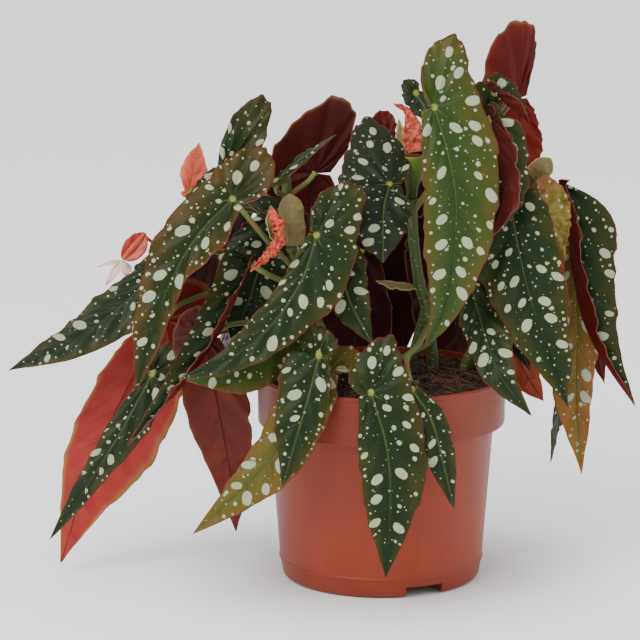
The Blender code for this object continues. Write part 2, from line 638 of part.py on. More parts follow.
def make_leaf(name, leaf, collection, tools):
    mesh, blade = blade_mesh(name, leaf)
    finish = material(f"leaf {leaf.tone}", LEAF_TONES[leaf.tone], 0.4)
    made = add_object(name, mesh, collection, finish)
    thick = made.modifiers.new("thickness", "SOLIDIFY")
    thick.thickness = BLADE_THICKNESS * MM
    thick.offset = -1.0
    thick.use_even_offset = False
    stalk = add_object(f"stalk of {name}",
                       tube_mesh(f"stalk of {name}", stalk_points(blade), (STALK_RADIUS,) * 2, 12.0), tools)
    as_cutter(stalk)
    add_boolean(made, stalk, "UNION")
    return made


# ------------------------------------------------------------------ stipules, young leaves, flower
@dataclass
class Scale:
    """A small blade without a lobe: a stipule, a young leaf or a petal.

    midrib: from its base to its tip.  half: widest half-width.  base: half-width at the base
    as a share of that.  curl: turn from the middle line to each margin, degrees.
    blunt: 2 for a round tip, more for a flat one.  tail: where a thin strand starts, as a
    share of the length.
    """
    midrib: tuple
    face: tuple
    half: float
    base: float
    curl: float
    tone: str
    blunt: float = 2.0
    tail: float = 1.0


SCALES = {
    "bract_centre": Scale([(9.0, 5.2, 198), (8.4, 9.5, 209), (8, 10, 220)], (0.8, -1, 0), 4.5, 0.6, 50, "papery"),
    "young_leaf_centre": Scale([(15.2, 1.2, 205.2), (14.2, 0, 211.5), (13.9, -2, 219), (11.5, -2, 225.5),
                                (5, -2, 229)], (0, -1, 0.3), 5, 0.8, 20, "coral", tail=0.8),
    "stipule_centre": Scale([(15.4, -0.8, 140), (7, -6, 141), (-3, -9, 145)], (0, -0.6, 1), 3.5, 0.6, 60,
                            "papery"),
    "stipule_left": Scale([(-42, -25.5, 164.7), (-43, -28, 178), (-43.8, -27, 190)], (0.1, 1, 0), 7, 0.7, 60,
                          "papery", blunt=5),
    "young_sheath_left": Scale([(-46.5, -29.5, 166.5), (-51, -35.5, 176), (-52.5, -36, 186)], (0, -1, 0), 4.5,
                               0.5, 80, "papery"),
    "young_leaf_left": Scale([(-52.4, -37.5, 184), (-49, -40.5, 178), (-48.5, -42.5, 171), (-52, -44, 165),
                              (-57, -45, 160.8), (-62, -45, 156)], (0, -1, 0.2), 4.5, 0.5, 30, "coral"),
    "hood_right": Scale([(69.5, 5.2, 182.9), (74.5, 1, 195), (80, 0, 202.5)], (-0.6, -1, -0.4), 7.5, 0.7, 70,
                        "papery", blunt=4),
    "young_leaf_right": Scale([(75, -4, 194), (81.5, -8, 183), (84, -10, 167), (83.8, -12, 154.5),
                               (85.6, -12, 143.5), (89, -12, 133.5)], (-0.1, -1, 0), 6, 0.8, 20, "lime",
                              tail=0.62),
}

SCALE_TONES = {
    "papery": (0.30, 0.30, 0.12),
    "coral": (0.60, 0.14, 0.09),
    "lime": (0.35, 0.32, 0.06),
    "petal": (0.80, 0.50, 0.48),
}

STRAND_HALF = 4.0          # half-width of a tail, if it ran the whole length
SCALE_LENGTHWAYS = 10
SCALE_ACROSS = 4


def scale_half(u, scale):
    """Half-width of a scale as a share of its widest, at a share u of its length."""
    widest = 0.35 * scale.tail
    if u < widest:
        return scale.base + (1 - scale.base) * math.sin(math.pi / 2 * u / widest)
    full = 1 - min(1.0, (u - widest) / (scale.tail - widest)) ** scale.blunt
    strand = STRAND_HALF * (1 - u) / scale.half if scale.tail < 1 else 0.0
    return max(full, strand)


def scale_mesh(name, scale):
    leaf = Leaf(scale.midrib, scale.face, scale.half, scale.half, 1.0, 1, fold=(0, 0),
                curl=(scale.curl, scale.curl))
    blade = Blade(leaf)
    grid = bmesh.new()
    bmesh.ops.create_grid(grid, x_segments=SCALE_LENGTHWAYS, y_segments=SCALE_ACROSS, size=0.5)
    for vert in grid.verts:
        u = vert.co.x + 0.5
        out = 2 * vert.co.y * scale.half * scale_half(u, scale)
        vert.co = blade.surface(u * blade.length, out) * MM
    bmesh.ops.remove_doubles(grid, verts=grid.verts, dist=0.00002)
    mesh = bpy.data.meshes.new(name)
    grid.to_mesh(mesh)
    grid.free()
    mesh.shade_smooth()
    return mesh


def make_scale(name, scale, collection):
    finish = material(f"scale {scale.tone}", SCALE_TONES[scale.tone], 0.5)
    made = add_object(name, scale_mesh(name, scale), collection, finish)
    thicken(made, PAPER_THICKNESS)
    return made


def thicken(made, thickness):
    thick = made.modifiers.new("thickness", "SOLIDIFY")
    thick.thickness = thickness * MM
    thick.offset = 0.0


# The swollen bud on top of the middle cane.
BUD_PATH = [(14, 0, 183.8), (14.5, 1, 193), (14.5, 1.5, 203.5)]
BUD_RADII = [2.8, 3.4, 5.0, 5.7, 5.3]

# A pink young leaf on its own stalk, up at the left.
SALMON_LEAF = Leaf([(-92, 16, 184), (-90, 14, 195), (-87, 12, 208)], (0, -1, 0.1), 8, 6, 4, -1,
                   ("cane_back_left", 168, (-80, 24, 178), (-62, 32, 172)), tone="coral")

# The female flower at the left: its stalk, the winged ovary and the star of petals.
FLOWER_ROOT = 151.0        # height on the cane
FLOWER_STALK = [(-60, 37, 152), (-86, 31, 152), (-104, 21, 155), (-112, 14, 161), (-113.6, 6, 165)]
OVARY_TOP = (-113.6, 6, 165)
OVARY_BOTTOM = (-123.8, 2, 153.5)
OVARY_WING = 6.5
OVARY_WINGS = 3
OVARY_TURN = 0.1
PETALS = 4
PETAL_LENGTH = 11.0


def make_bud(collection):
    skin = material("bud skin", (0.18, 0.24, 0.06), 0.45)
    return add_object("bud_centre", tube_mesh("bud_centre", BUD_PATH, BUD_RADII, 4.0, 2), collection, skin)


def make_ovary(collection, tools):
    """Three rounded wings round a slim core, hanging from the flower's long stalk."""
    top, bottom = Vector(OVARY_TOP), Vector(OVARY_BOTTOM)
    root = cane_point("cane_back_left", FLOWER_ROOT)
    towards = (Vector(FLOWER_STALK[0]) - root).normalized()
    way = [root + towards * (CANE_RADIUS + GAP + 0.6), *[Vector(p) for p in FLOWER_STALK]]
    pink = material("flower coral", (0.62, 0.16, 0.11), 0.5)
    stalk = add_object("flower_ovary", tube_mesh("flower_ovary", way, (1.2, 1.0), 9.0), collection, pink)
    core = add_object("ovary core", tube_mesh("ovary core", [top + (top - bottom) * 0.05, bottom],
                                              (1.6, 2.2, 1.6), 5.0), tools)
    as_cutter(core)
    add_boolean(stalk, core, "UNION")
    axis = (bottom - top).normalized()
    first = (Vector((1, 0, 0)) - axis * axis.x).normalized()
    second = axis.cross(first)
    for number in range(OVARY_WINGS):
        turn = math.tau * number / OVARY_WINGS + OVARY_TURN
        outwards = first * math.cos(turn) + second * math.sin(turn)
        wing = add_object(f"ovary wing {number}", wing_mesh(f"ovary wing {number}", top, bottom, outwards), tools)
        as_cutter(wing)
        add_boolean(stalk, wing, "UNION")
    return stalk


def wing_mesh(name, top, bottom, outwards):
    """A thin half-round plate between the ends of the ovary."""
    steps = 6
    side = (bottom - top).normalized().cross(outwards) * PAPER_THICKNESS / 2
    shape = bmesh.new()
    rim = []
    for index in range(steps + 1):
        share = index / steps
        reach = OVARY_WING * math.sin(math.pi * share) ** 0.6
        rim.append(top.lerp(bottom, 0.04 + 0.92 * share) + outwards * reach)
    front = [shape.verts.new((point + side) * MM) for point in rim]
    plate = shape.faces.new(front)
    made = bmesh.ops.extrude_face_region(shape, geom=[plate])
    moved = [item for item in made["geom"] if isinstance(item, bmesh.types.BMVert)]
    bmesh.ops.translate(shape, vec=side * -2 * MM, verts=moved)
    bmesh.ops.recalc_face_normals(shape, faces=shape.faces)
    mesh = bpy.data.meshes.new(name)
    shape.to_mesh(mesh)
    shape.free()
    return mesh


def make_petals(collection):
    """The petals open in a star below the ovary, as one cupped sheet."""
    rays, rings = 6 * PETALS, 2
    centre = Vector(OVARY_BOTTOM) + (Vector(OVARY_BOTTOM) - Vector(OVARY_TOP)).normalized() * 0.9
    axis = (Vector(OVARY_BOTTOM) - Vector(OVARY_TOP)).normalized()
    first = (Vector((1, 0, 0)) - axis * axis.x).normalized()
    second = axis.cross(first)
    grid = bmesh.new()
    bmesh.ops.create_grid(grid, x_segments=rays, y_segments=rings, size=0.5)
    for vert in grid.verts:
        turn = math.tau * (vert.co.x + 0.5)
        share = vert.co.y + 0.5
        point = abs(math.cos(turn * PETALS / 2))
        reach = share * PETAL_LENGTH * (0.30 + 0.70 * point**2)
        droop = 0.55 * reach**2 / PETAL_LENGTH
        outwards = first * math.cos(turn) + second * math.sin(turn)
        vert.co = (centre + outwards * reach + axis * droop) * MM
    bmesh.ops.remove_doubles(grid, verts=grid.verts, dist=0.00002)
    bmesh.ops.recalc_face_normals(grid, faces=grid.faces)
    mesh = bpy.data.meshes.new("flower_petals")
    grid.to_mesh(mesh)
    grid.free()
    mesh.shade_smooth()
    pale = material("petal pale pink", SCALE_TONES["petal"], 0.5)
    made = add_object("flower_petals", mesh, collection, pale)
    thicken(made, PAPER_THICKNESS)
    return made


def main():
    clear_scene()
    parts = new_collection("potted_polka_dot_begonia")
    tools = new_collection("tools")
    make_pot(parts, tools)
    make_soil(parts, tools)
    make_canes(parts)
    make_bud(parts)
    for name, leaf in LEAVES.items():
        make_leaf(name, leaf, parts, tools)
    make_leaf("young_leaf_salmon", SALMON_LEAF, parts, tools)
    for name, scale in SCALES.items():
        make_scale(name, scale, parts)
    make_ovary(parts, tools)
    make_petals(parts)
    for made in [*parts.objects, *tools.objects]:
        made.location += Vector(POT_AXIS) * MM


main()
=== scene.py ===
# %% [markdown]
# # A potted polka dot begonia
#
# This lesson dresses a small cane begonia: a terracotta coloured nursery pot, the soil in it,
# five canes, and some forty lopsided leaves with silver spots above and wine red below.
# Where each leaf hangs is known from the solid model that the frame brings in.  Here every
# leaf gets its real thinness, its ripples and quilting, and its painted surface.

# %% Load the frame
import math
import random
from dataclasses import dataclass

import bmesh
import bpy
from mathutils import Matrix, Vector, noise


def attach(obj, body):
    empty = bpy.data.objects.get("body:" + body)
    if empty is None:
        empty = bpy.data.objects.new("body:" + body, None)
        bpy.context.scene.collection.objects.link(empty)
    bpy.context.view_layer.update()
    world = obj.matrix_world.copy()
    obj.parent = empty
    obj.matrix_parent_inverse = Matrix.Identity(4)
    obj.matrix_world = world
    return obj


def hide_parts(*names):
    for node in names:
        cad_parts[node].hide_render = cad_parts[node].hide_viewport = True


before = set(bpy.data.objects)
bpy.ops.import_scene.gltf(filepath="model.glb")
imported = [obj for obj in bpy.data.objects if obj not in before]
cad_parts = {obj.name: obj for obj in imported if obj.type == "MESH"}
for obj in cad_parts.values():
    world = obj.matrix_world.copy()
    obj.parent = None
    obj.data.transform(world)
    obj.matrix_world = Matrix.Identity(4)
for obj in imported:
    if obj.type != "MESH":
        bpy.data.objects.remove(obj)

MM = 0.001
POT_AXIS = Vector((28.0, -8.4, 0.0)) * MM
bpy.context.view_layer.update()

# %% [markdown]
# ## The camera
#
# A plant portrait is taken from far away with a long lens, so that near leaves aren't blown up
# against far ones.  The camera stands 1.6 m in front, a little above the plant, and looks down
# by about eleven degrees, which shows a sliver of soil behind the front of the rim.

# %% Camera
PITCH = 11.474
portrait = bpy.data.cameras.new("portrait lens")
portrait.lens = 192.0
portrait.sensor_width = 36.0
camera = bpy.data.objects.new("portrait camera", portrait)
camera.location = POT_AXIS + Vector((-0.0295, -1.6, 0.449))
camera.rotation_euler = (math.radians(90.0 - PITCH), 0.0, 0.0)
bpy.context.scene.collection.objects.link(camera)
bpy.context.scene.camera = camera
print("camera looks down by", PITCH, "degrees")

# %% [markdown]
# ## Shader maths that reads like maths
#
# A finish is a little network of nodes.  Drawing it by hand hides the idea, so one small class
# wraps a socket and lets `1 - mask` or `height * 0.3` add the Math node by itself.  Every other
# node comes from a single method, `node`, which takes its type, its settings and its inputs.

# %% Wires
class Wire:
    """A value that flows through a finish, written like a number."""

    def __init__(self, finish, socket):
        self.finish = finish
        self.socket = socket

    def maths(self, operation, *values):
        return self.finish.node("ShaderNodeMath", {"operation": operation}, dict(enumerate(values)))

    def __add__(self, other):
        return self.maths("ADD", self, other)

    def __sub__(self, other):
        return self.maths("SUBTRACT", self, other)

    def __rsub__(self, other):
        return self.maths("SUBTRACT", other, self)

    def __mul__(self, other):
        return self.maths("MULTIPLY", self, other)

    def __truediv__(self, other):
        return self.maths("DIVIDE", self, other)

    def __pow__(self, other):
        return self.maths("POWER", self, other)

    __radd__ = __add__
    __rmul__ = __mul__

    def size(self):
        return self.maths("ABSOLUTE", self)

    def nearest(self):
        return self.maths("ROUND", self)

    def least(self, other):
        return self.maths("MINIMUM", self, other)

    def most(self, other):
        return self.maths("MAXIMUM", self, other)

    def rise(self, low, high):
        """0 below low, 1 above high, and a soft step between; falls when low is above high."""
        return self.finish.node("ShaderNodeMapRange", {"interpolation_type": "SMOOTHSTEP"},
                                {"Value": self, "From Min": low, "From Max": high})


print("a wire can be added, subtracted, multiplied, divided and raised to a power")

# %% [markdown]
# ### A finish under construction
#
# A finish holds one material and its shader.  Patterns, such as clouds and cells, give masks;
# `layers` lays one colour over another where a mask says so, as a painter glazes; and `dress`
# sends the outcome to the shader.

# %% Finishes
class Finish:
    """A material under construction."""

    def __init__(self, name, **constants):
        self.material = bpy.data.materials.new(name)
        self.material.use_nodes = True
        self.tree = self.material.node_tree
        self.shader = self.tree.nodes["Principled BSDF"]
        for socket, value in constants.items():
            self.shader.inputs[socket.replace("_", " ")].default_value = value

    def node(self, kind, settings=None, sockets=None, output=0):
        made = self.tree.nodes.new(kind)
        for name, value in (settings or {}).items():
            setattr(made, name, value)
        for name, value in (sockets or {}).items():
            self.feed(made.inputs[name], value)
        return Wire(self, made.outputs[output])

    def feed(self, socket, value):
        if isinstance(value, Wire):
            self.tree.links.new(value.socket, socket)
        elif isinstance(value, tuple) and socket.type == "RGBA":
            socket.default_value = (*value, 1.0)
        else:
            socket.default_value = value

    def paint(self, socket, value):
        self.feed(self.shader.inputs[socket], value)

    def parts(self, vector, count=2):
        """The first numbers of a vector or a colour."""
        split = self.node("ShaderNodeSeparateXYZ", None, {0: vector}).socket.node
        return [Wire(self, split.outputs[index]) for index in range(count)]

    def point(self, x, y):
        return self.node("ShaderNodeCombineXYZ", None, {0: x, 1: y})

    def map(self, name):
        """Where a point of the piece is on one of its UV maps."""
        return self.node("ShaderNodeUVMap", {"uv_map": name})

    def place(self):
        """Where a point of the piece is in the object, in metres."""
        return self.node("ShaderNodeTexCoord", None, None, "Object")

    def cloud(self, vector, scale, detail=3.0, roughness=0.5):
        return self.node("ShaderNodeTexNoise", None,
                         {"Vector": vector, "Scale": scale, "Detail": detail, "Roughness": roughness})

    def cells(self, vector, scale, shake=1.0, feature="F1"):
        """Distance to the nearest centre of a cell pattern."""
        return self.node("ShaderNodeTexVoronoi", {"voronoi_dimensions": "2D", "feature": feature},
                         {"Vector": vector, "Scale": scale, "Randomness": shake})

    def cell_facts(self, cells):
        """Two random numbers of the nearest cell, and the place of its centre."""
        colour, centre = (Wire(self, cells.socket.node.outputs[name]) for name in ("Color", "Position"))
        return *self.parts(colour), centre

    def mix(self, share, first, second):
        return self.node("ShaderNodeMix", {"data_type": "RGBA"}, {0: share, 6: first, 7: second}, 2)

    def layers(self, colour, *coats):
        """A colour under coats of others; a coat is (where it shows, its colour)."""
        for share, coat in coats:
            colour = self.mix(share, colour, coat)
        return colour

    def dress(self, colour, roughness=None, height=None, strength=0.3, depth=0.0004):
        """Send a colour, and if there are any a roughness and a relief, to the shader."""
        self.paint("Base Color", colour)
        if roughness:
            self.paint("Roughness", roughness)
        if height:
            self.paint("Normal", self.node("ShaderNodeBump", None,
                                           {"Height": height, "Strength": strength, "Distance": depth}))


def tint(red, green, blue):
    """A colour named by its 0-255 values on a screen, turned into light."""
    return tuple(((value / 255 + 0.055) / 1.055) ** 2.4 for value in (red, green, blue))


print("middle grey as light:", [round(value, 2) for value in tint(128, 128, 128)])

# %% [markdown]
# ## The floor
#
# The plant stands on one pale sheet of studio paper.  The paper glows a little, like the top of a
# light table; this glow is painted light, which keeps it pale behind the plant and lifts the
# undersides of the leaves that hang over it.  The glow stops short of the pot and leaves a dark
# ring round it, a painted shadow, so the pot stands in its own shadow and its water gates look dark.

# %% Floor
FLOOR_HALF = 6.0
FLOOR_DROP = 0.0006
GLOW_STARTS = 0.05
GLOW_FULL = 0.13
BLACK = (0.0, 0.0, 0.0)
WHITE = (1.0, 1.0, 1.0)
PAPER_WHITE = (0.96, 0.96, 0.96)


def add_piece(name, mesh, *finishes):
    made = bpy.data.objects.new(name, mesh)
    bpy.context.scene.collection.objects.link(made)
    for finish in finishes:
        mesh.materials.append(finish)
    return made


def mesh_of(name, shape):
    """Turn a shape under construction into a mesh."""
    mesh = bpy.data.meshes.new(name)
    shape.to_mesh(mesh)
    shape.free()
    return mesh


# painted light: the paper glows like a light table
paper = Finish("glowing studio paper with painted shadow", Roughness=0.9, Emission_Strength=0.45)
paper.dress(PAPER_WHITE)
x, y = paper.parts(paper.place())
away = ((x - POT_AXIS.x) ** 2.0 + (y - POT_AXIS.y) ** 2.0) ** 0.5
# painted shadow: no glow near the pot, full glow further out
paper.paint("Emission Color", paper.mix(away.rise(GLOW_STARTS, GLOW_FULL), BLACK, WHITE))
ground = bmesh.new()
bmesh.ops.create_grid(ground, x_segments=2, y_segments=2, size=FLOOR_HALF)
floor = add_piece("floor", mesh_of("floor", ground), paper.material)
floor.location.z = -FLOOR_DROP
print("floor is", 2 * FLOOR_HALF, "m wide")

# %% [markdown]
# ## The light
#
# A white surround lights the plant evenly, with a big soft light above the front left and a
# weaker one on the right.  Big lights give the waxy leaves their broad, gentle sheen and keep the
# shadows between them deep but soft.

# %% Surround and lamps
SURROUND_STRENGTH = 0.95
LAMP_AIM = Vector((-0.02, 0.0, 0.12))
LAMPS = {  # place, width and power
    "big soft light front left": ((-0.9, -1.3, 1.5), 1.2, 34.0),
    "weak light right": ((1.3, -0.7, 0.9), 1.0, 3.0),
}
surround = bpy.data.worlds.new("white studio")
surround.use_nodes = True
background = surround.node_tree.nodes["Background"]
background.inputs["Color"].default_value = (*WHITE, 1.0)
background.inputs["Strength"].default_value = SURROUND_STRENGTH
bpy.context.scene.world = surround

for name, (place, width, watts) in LAMPS.items():
    lamp = bpy.data.lights.new(name, "AREA")
    lamp.size = width
    lamp.energy = watts
    holder = bpy.data.objects.new(name, lamp)
    holder.location = place
    holder.rotation_euler = (LAMP_AIM - Vector(place)).to_track_quat("-Z", "Y").to_euler()
    bpy.context.scene.collection.objects.link(holder)
print(len(LAMPS), "lamps and a white surround")

# %% [markdown]
# ## The pot
#
# A nursery pot is blown or moulded in polypropylene: one thin turned wall with a deep straight
# skirt at the rim, and a foot ring with gates for water.  A turned profile gives all of it, and
# the gates and drains are cut out afterwards, as the mould's slides do.

# %% Pot sizes and profile
POT_HEIGHT = 99.0
RIM_RADIUS = 60.0
SKIRT_BOTTOM = 75.4
BODY_TOP_RADIUS = 53.7
BODY_FOOT_RADIUS = 48.8
RIDGE_HEIGHT = 9.0
FOOT_RADIUS = 47.2
WALL = 1.5
FLOOR_HEIGHT = 5.0
CORNER = 0.8


def inner_radius(height):
    slope = (BODY_TOP_RADIUS - BODY_FOOT_RADIUS) / (SKIRT_BOTTOM - RIDGE_HEIGHT)
    return BODY_FOOT_RADIUS + slope * (height - RIDGE_HEIGHT) - WALL


def rounded(profile, corner):
    """The profile with each inner corner replaced by three points on a small curve."""
    points = [Vector(p) for p in profile]
    soft = [points[0]]
    for before, here, after in zip(points, points[1:], points[2:]):
        cut = min(corner, (before - here).length * 0.4, (after - here).length * 0.4)
        start = here + (before - here).normalized() * cut
        end = here + (after - here).normalized() * cut
        soft += [start, (start + end + 2 * here) / 4, end]
    return soft + [points[-1]]


pot_profile = rounded([
    (0.0, FLOOR_HEIGHT + WALL),
    (inner_radius(FLOOR_HEIGHT + WALL) - 1.0, FLOOR_HEIGHT + WALL),
    (inner_radius(SKIRT_BOTTOM), SKIRT_BOTTOM),
    (RIM_RADIUS - 3.0, SKIRT_BOTTOM + 2.0 * WALL),
    (RIM_RADIUS - 1.8, POT_HEIGHT - 0.6),
    (RIM_RADIUS - 1.5, POT_HEIGHT),
    (RIM_RADIUS - 0.1, POT_HEIGHT),
    (RIM_RADIUS, POT_HEIGHT - 1.8),
    (RIM_RADIUS - 0.5, POT_HEIGHT - 2.2),
    (RIM_RADIUS - 0.7, SKIRT_BOTTOM + 0.6),
    (RIM_RADIUS - 1.2, SKIRT_BOTTOM),
    (BODY_TOP_RADIUS + 0.3, SKIRT_BOTTOM + 0.1),
    (BODY_FOOT_RADIUS + 0.1, RIDGE_HEIGHT + 0.9),
    (BODY_FOOT_RADIUS + 0.55, RIDGE_HEIGHT + 0.4),
    (BODY_FOOT_RADIUS + 0.5, RIDGE_HEIGHT - 0.4),
    (BODY_FOOT_RADIUS - 0.1, RIDGE_HEIGHT - 0.9),
    (FOOT_RADIUS + 0.3, 1.2),
    (FOOT_RADIUS - 0.8, 0.0),
    (FOOT_RADIUS - 2.8, 0.0),
    (FOOT_RADIUS - 3.2, FLOOR_HEIGHT),
    (0.0, FLOOR_HEIGHT),
], CORNER)
print("pot profile has", len(pot_profile), "points")

# %% [markdown]
# ### Turning and cutting
#
# The profile is spun round the pot's axis, as clay is on a wheel.  To cut, a solid is set where
# a gap should be and an exact Boolean takes it away, which keeps the cut edges crisp.

# %% Turning and cutting
TURN_STEPS = 160
WELD = 0.00001


def turned(profile):
    """The profile, in pairs of radius and height, spun round the axis."""
    outline = bmesh.new()
    corners = [outline.verts.new((x * MM, 0.0, z * MM)) for x, z in profile]
    for upper, lower in zip(corners, corners[1:]):
        outline.edges.new((upper, lower))
    bmesh.ops.spin(outline, geom=outline.verts[:] + outline.edges[:], cent=(0, 0, 0), axis=(0, 0, 1),
                   angle=math.tau, steps=TURN_STEPS)
    bmesh.ops.remove_doubles(outline, verts=outline.verts, dist=WELD)
    bmesh.ops.recalc_face_normals(outline, faces=outline.faces)
    return outline


def cutter(make, radius, angle, height=0.0, **sizes):
    """A solid to cut with, at a radius and at an angle in degrees; -90 points to the front."""
    shape = bmesh.new()
    make(shape, **sizes)
    made = add_piece("cutter", mesh_of("cutter", shape))
    turn = math.radians(angle)
    made.location = Vector((math.cos(turn) * radius, math.sin(turn) * radius, height)) * MM
    return made


def settle(piece):
    """Replace the piece's mesh by the outcome of its modifiers."""
    bpy.context.view_layer.update()
    result = bpy.data.meshes.new_from_object(piece.evaluated_get(bpy.context.evaluated_depsgraph_get()))
    piece.modifiers.clear()
    piece.data = result


def carve(piece, cutters):
    """Cut all the cutters out of a piece, keep the result and throw the cutters away."""
    for tool in cutters:
        cut = piece.modifiers.new("cut", "BOOLEAN")
        cut.object = tool
        cut.operation = "DIFFERENCE"
        cut.solver = "EXACT"
    settle(piece)
    for tool in cutters:
        bpy.data.objects.remove(tool, do_unlink=True)


pot = add_piece("terracotta_pot", mesh_of("terracotta_pot", turned(pot_profile)))
print("turned pot has", len(pot.data.polygons), "faces")

# %% [markdown]
# Three water gates open the foot ring and eight drains the floor.  Edges sharper than forty
# degrees are split afterwards, so that they stay crisp when the rest is shaded smooth.

# %% Gates and drains
GATES = (25.0, 145.0, 265.0)
GATE_SIZE = (16.0, 19.0, 9.6)
GATE_RING = FOOT_RADIUS - 1.5
DRAINS = 8
DRAIN_TURN = 7.0
DRAIN_RING = 34.0
DRAIN_RADIUS = 3.6
DRAIN_DEPTH = 6.0
DRAIN_MIDDLE = 5.75
CRISP_ANGLE = 40.0

tools = []
for angle in GATES:
    gate = cutter(bmesh.ops.create_cube, GATE_RING, angle - 90.0, size=1.0)
    gate.rotation_euler.z = math.radians(angle - 90.0)
    gate.scale = Vector(GATE_SIZE) * MM
    tools.append(gate)
for number in range(DRAINS):
    angle = 360.0 * number / DRAINS + DRAIN_TURN - 90.0
    tools.append(cutter(bmesh.ops.create_cone, DRAIN_RING, angle, DRAIN_MIDDLE, cap_ends=True, segments=32,
                        radius1=DRAIN_RADIUS * MM, radius2=DRAIN_RADIUS * MM, depth=DRAIN_DEPTH * MM))
carve(pot, tools)
pot.data.shade_smooth()
edges = pot.modifiers.new("crisp edges", "EDGE_SPLIT")
edges.split_angle = math.radians(CRISP_ANGLE)
settle(pot)
print("pot has", len(pot.data.polygons), "faces")

# %% [markdown]
# The plastic is dyed through, with a satin skin.  Close to, it has faint flow clouds, fine
# vertical draw lines and water stains; it is a little darker towards the bottom, and the skirt and
# rim carry painted shade from the leaves above.

# %% Pot finish
def hand_over(piece, slot, *nodes):
    """Stand a finished piece over the pot's axis, tie it to the plant and let it take over its solids."""
    piece.location = POT_AXIS
    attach(piece, "root")
    if nodes:
        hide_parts(*nodes)


plastic = Finish("dyed pot plastic", Specular_IOR_Level=0.28)
here = plastic.place()
_, _, high = plastic.parts(here, 3)
flow = plastic.cloud(here, 22.0, 4.0, 0.55)
grain = plastic.cloud(here, 900.0, 2.0, 0.6)
streaks = plastic.node("ShaderNodeMapping", None, {"Vector": here, "Scale": (60.0, 60.0, 9.0)})
stain = plastic.cloud(streaks, 1.0, 4.0, 0.6)
skin = plastic.layers(
    tint(127, 45, 22),
    (flow.rise(0.35, 0.7), tint(139, 52, 27)),
    (stain.rise(0.56, 0.75) * 0.22, tint(150, 70, 44)),
    # painted shade: the skirt and rim are darker, as in the shade of the leaves
    (high.rise(0.0745, 0.0757) * 0.6, tint(112, 40, 22)),
    # darker towards the bottom
    (high.rise(0.014, 0.0) * 0.35, tint(118, 48, 32)))
plastic.dress(skin, 0.36 + flow * 0.14 + stain.rise(0.5, 0.8) * 0.08, grain * 0.4 + flow, 0.25)
pot.data.materials.clear()
pot.data.materials.append(plastic.material)
hand_over(pot, "pot_plastic", "pot")
print("the pot's finish has", len(plastic.tree.nodes), "nodes")

# %% [markdown]
# ## The soil
#
# Potting soil for a begonia is peat with coir: dark crumbs, pale wiry fibres and a few grains of
# perlite.  The bulk is a lumpy disc.  What makes it read as soil is real loose matter on top, so
# crumbs and fibres are scattered over it as small solids with a fixed random seed.
#
# ### Rows of points
#
# Soil, fibres, canes and leaves are all woven in one way: rows of points are laid first, and then
# quads are filled in between them.  A ring is a row that ends where it began.

# %% Rows of points
EAST = Vector((1.0, 0.0, 0.0))
NORTH = Vector((0.0, 1.0, 0.0))
UP = Vector((0.0, 0.0, 1.0))


def lay_ring(shape, centre, side, other, radius, count, turns=1.0, along=0.0):
    """A ring of points round a centre, in millimetres, from side towards other.

    Each point comes with its place on the flat map, and the first is there again at the end."""
    ring = []
    for k in range(count):
        turn = math.tau * k / count
        out = side * math.cos(turn) + other * math.sin(turn)
        ring.append((shape.verts.new((centre + out * radius) * MM), (turns * k / count, along)))
    return [*ring, (ring[0][0], (turns, along))]


def weave(shape, rows):
    """Fill in quads between rows of points; a point is a vert and its places on the shape's maps."""
    maps = shape.loops.layers.uv.values()
    for lower, higher in zip(rows, rows[1:]):
        for corners in zip(lower, lower[1:], higher[1:], higher):
            face = shape.faces.new([vert for vert, *_ in corners])
            for loop, (_, *places) in zip(face.loops, corners):
                for layer, place in zip(maps, places):
                    loop[layer].uv = place


def close_ends(shape, rings):
    """A flat face on the first and on the last ring."""
    first, last = ([vert for vert, *_ in ring[:-1]] for ring in (rings[0], rings[-1]))
    shape.faces.new(first[::-1])
    shape.faces.new(last)


print("rows of points can be laid, woven and closed")

# %% [markdown]
# ### The bulk
#
# Watering domes the soil a little in the middle, and two scales of noise make it lumpy.  Both die
# out at the wall.  Rings of points run from the middle out to the wall, and down inside the pot.

# %% Soil bulk
SOIL_EDGE = 95.5
SOIL_MIDDLE = 99.5
SOIL_RADIUS = RIM_RADIUS - 2.2 - 0.3
RINGS = 60
AROUND = 150
BELOW = [(RIM_RADIUS - 3.6, SKIRT_BOTTOM + 3.6), (inner_radius(SKIRT_BOTTOM) - 0.4, SKIRT_BOTTOM + 0.5),
         (inner_radius(7.5) - 0.4, 7.5), (inner_radius(7.0) - 3.0, 7.0)]


def soil_height(x, y):
    """Height of the soil in millimetres at a place in millimetres."""
    share = min(1.0, math.hypot(x, y) / SOIL_RADIUS)
    plain = SOIL_MIDDLE + (SOIL_EDGE - SOIL_MIDDLE) * share**1.6
    rough = noise.noise(Vector((x * 0.16, y * 0.16, 3.1))) * 1.2
    fine = noise.noise(Vector((x * 0.55, y * 0.55, 7.7))) * 0.8
    return plain + (rough + fine) * (1 - share**8)


bulk = bmesh.new()
rings = [lay_ring(bulk, Vector(), EAST, NORTH, SOIL_RADIUS * number / RINGS, AROUND)
         for number in range(1, RINGS + 1)]
for vert in bulk.verts:
    vert.co.z = soil_height(vert.co.x / MM, vert.co.y / MM) * MM
rings += [lay_ring(bulk, UP * height, EAST, NORTH, radius, AROUND) for radius, height in BELOW]
weave(bulk, list(zip(*rings)))
close_ends(bulk, rings[::-1])
bmesh.ops.recalc_face_normals(bulk, faces=bulk.faces)
print("soil bulk has", len(bulk.verts), "points")

# %% [markdown]
# ### Loose matter
#
# A crumb is a small ball, squeezed and roughened by noise.  A fibre is a strand of a few rings
# that wanders over the soil and arches off it.  All draws come from one seeded generator.

# %% Crumbs and fibres
CRUMBS = 900
GRAINS = 26
FIBRES = 620
FIBRE_RINGS = 7
SCATTER = 56.0
FIBRE_REACH = 56.5
chance = random.Random(11)


def scatter_place():
    """A random place on the soil, as likely anywhere as elsewhere."""
    radius = SCATTER * math.sqrt(chance.random())
    angle = chance.uniform(0, math.tau)
    return radius * math.cos(angle), radius * math.sin(angle)


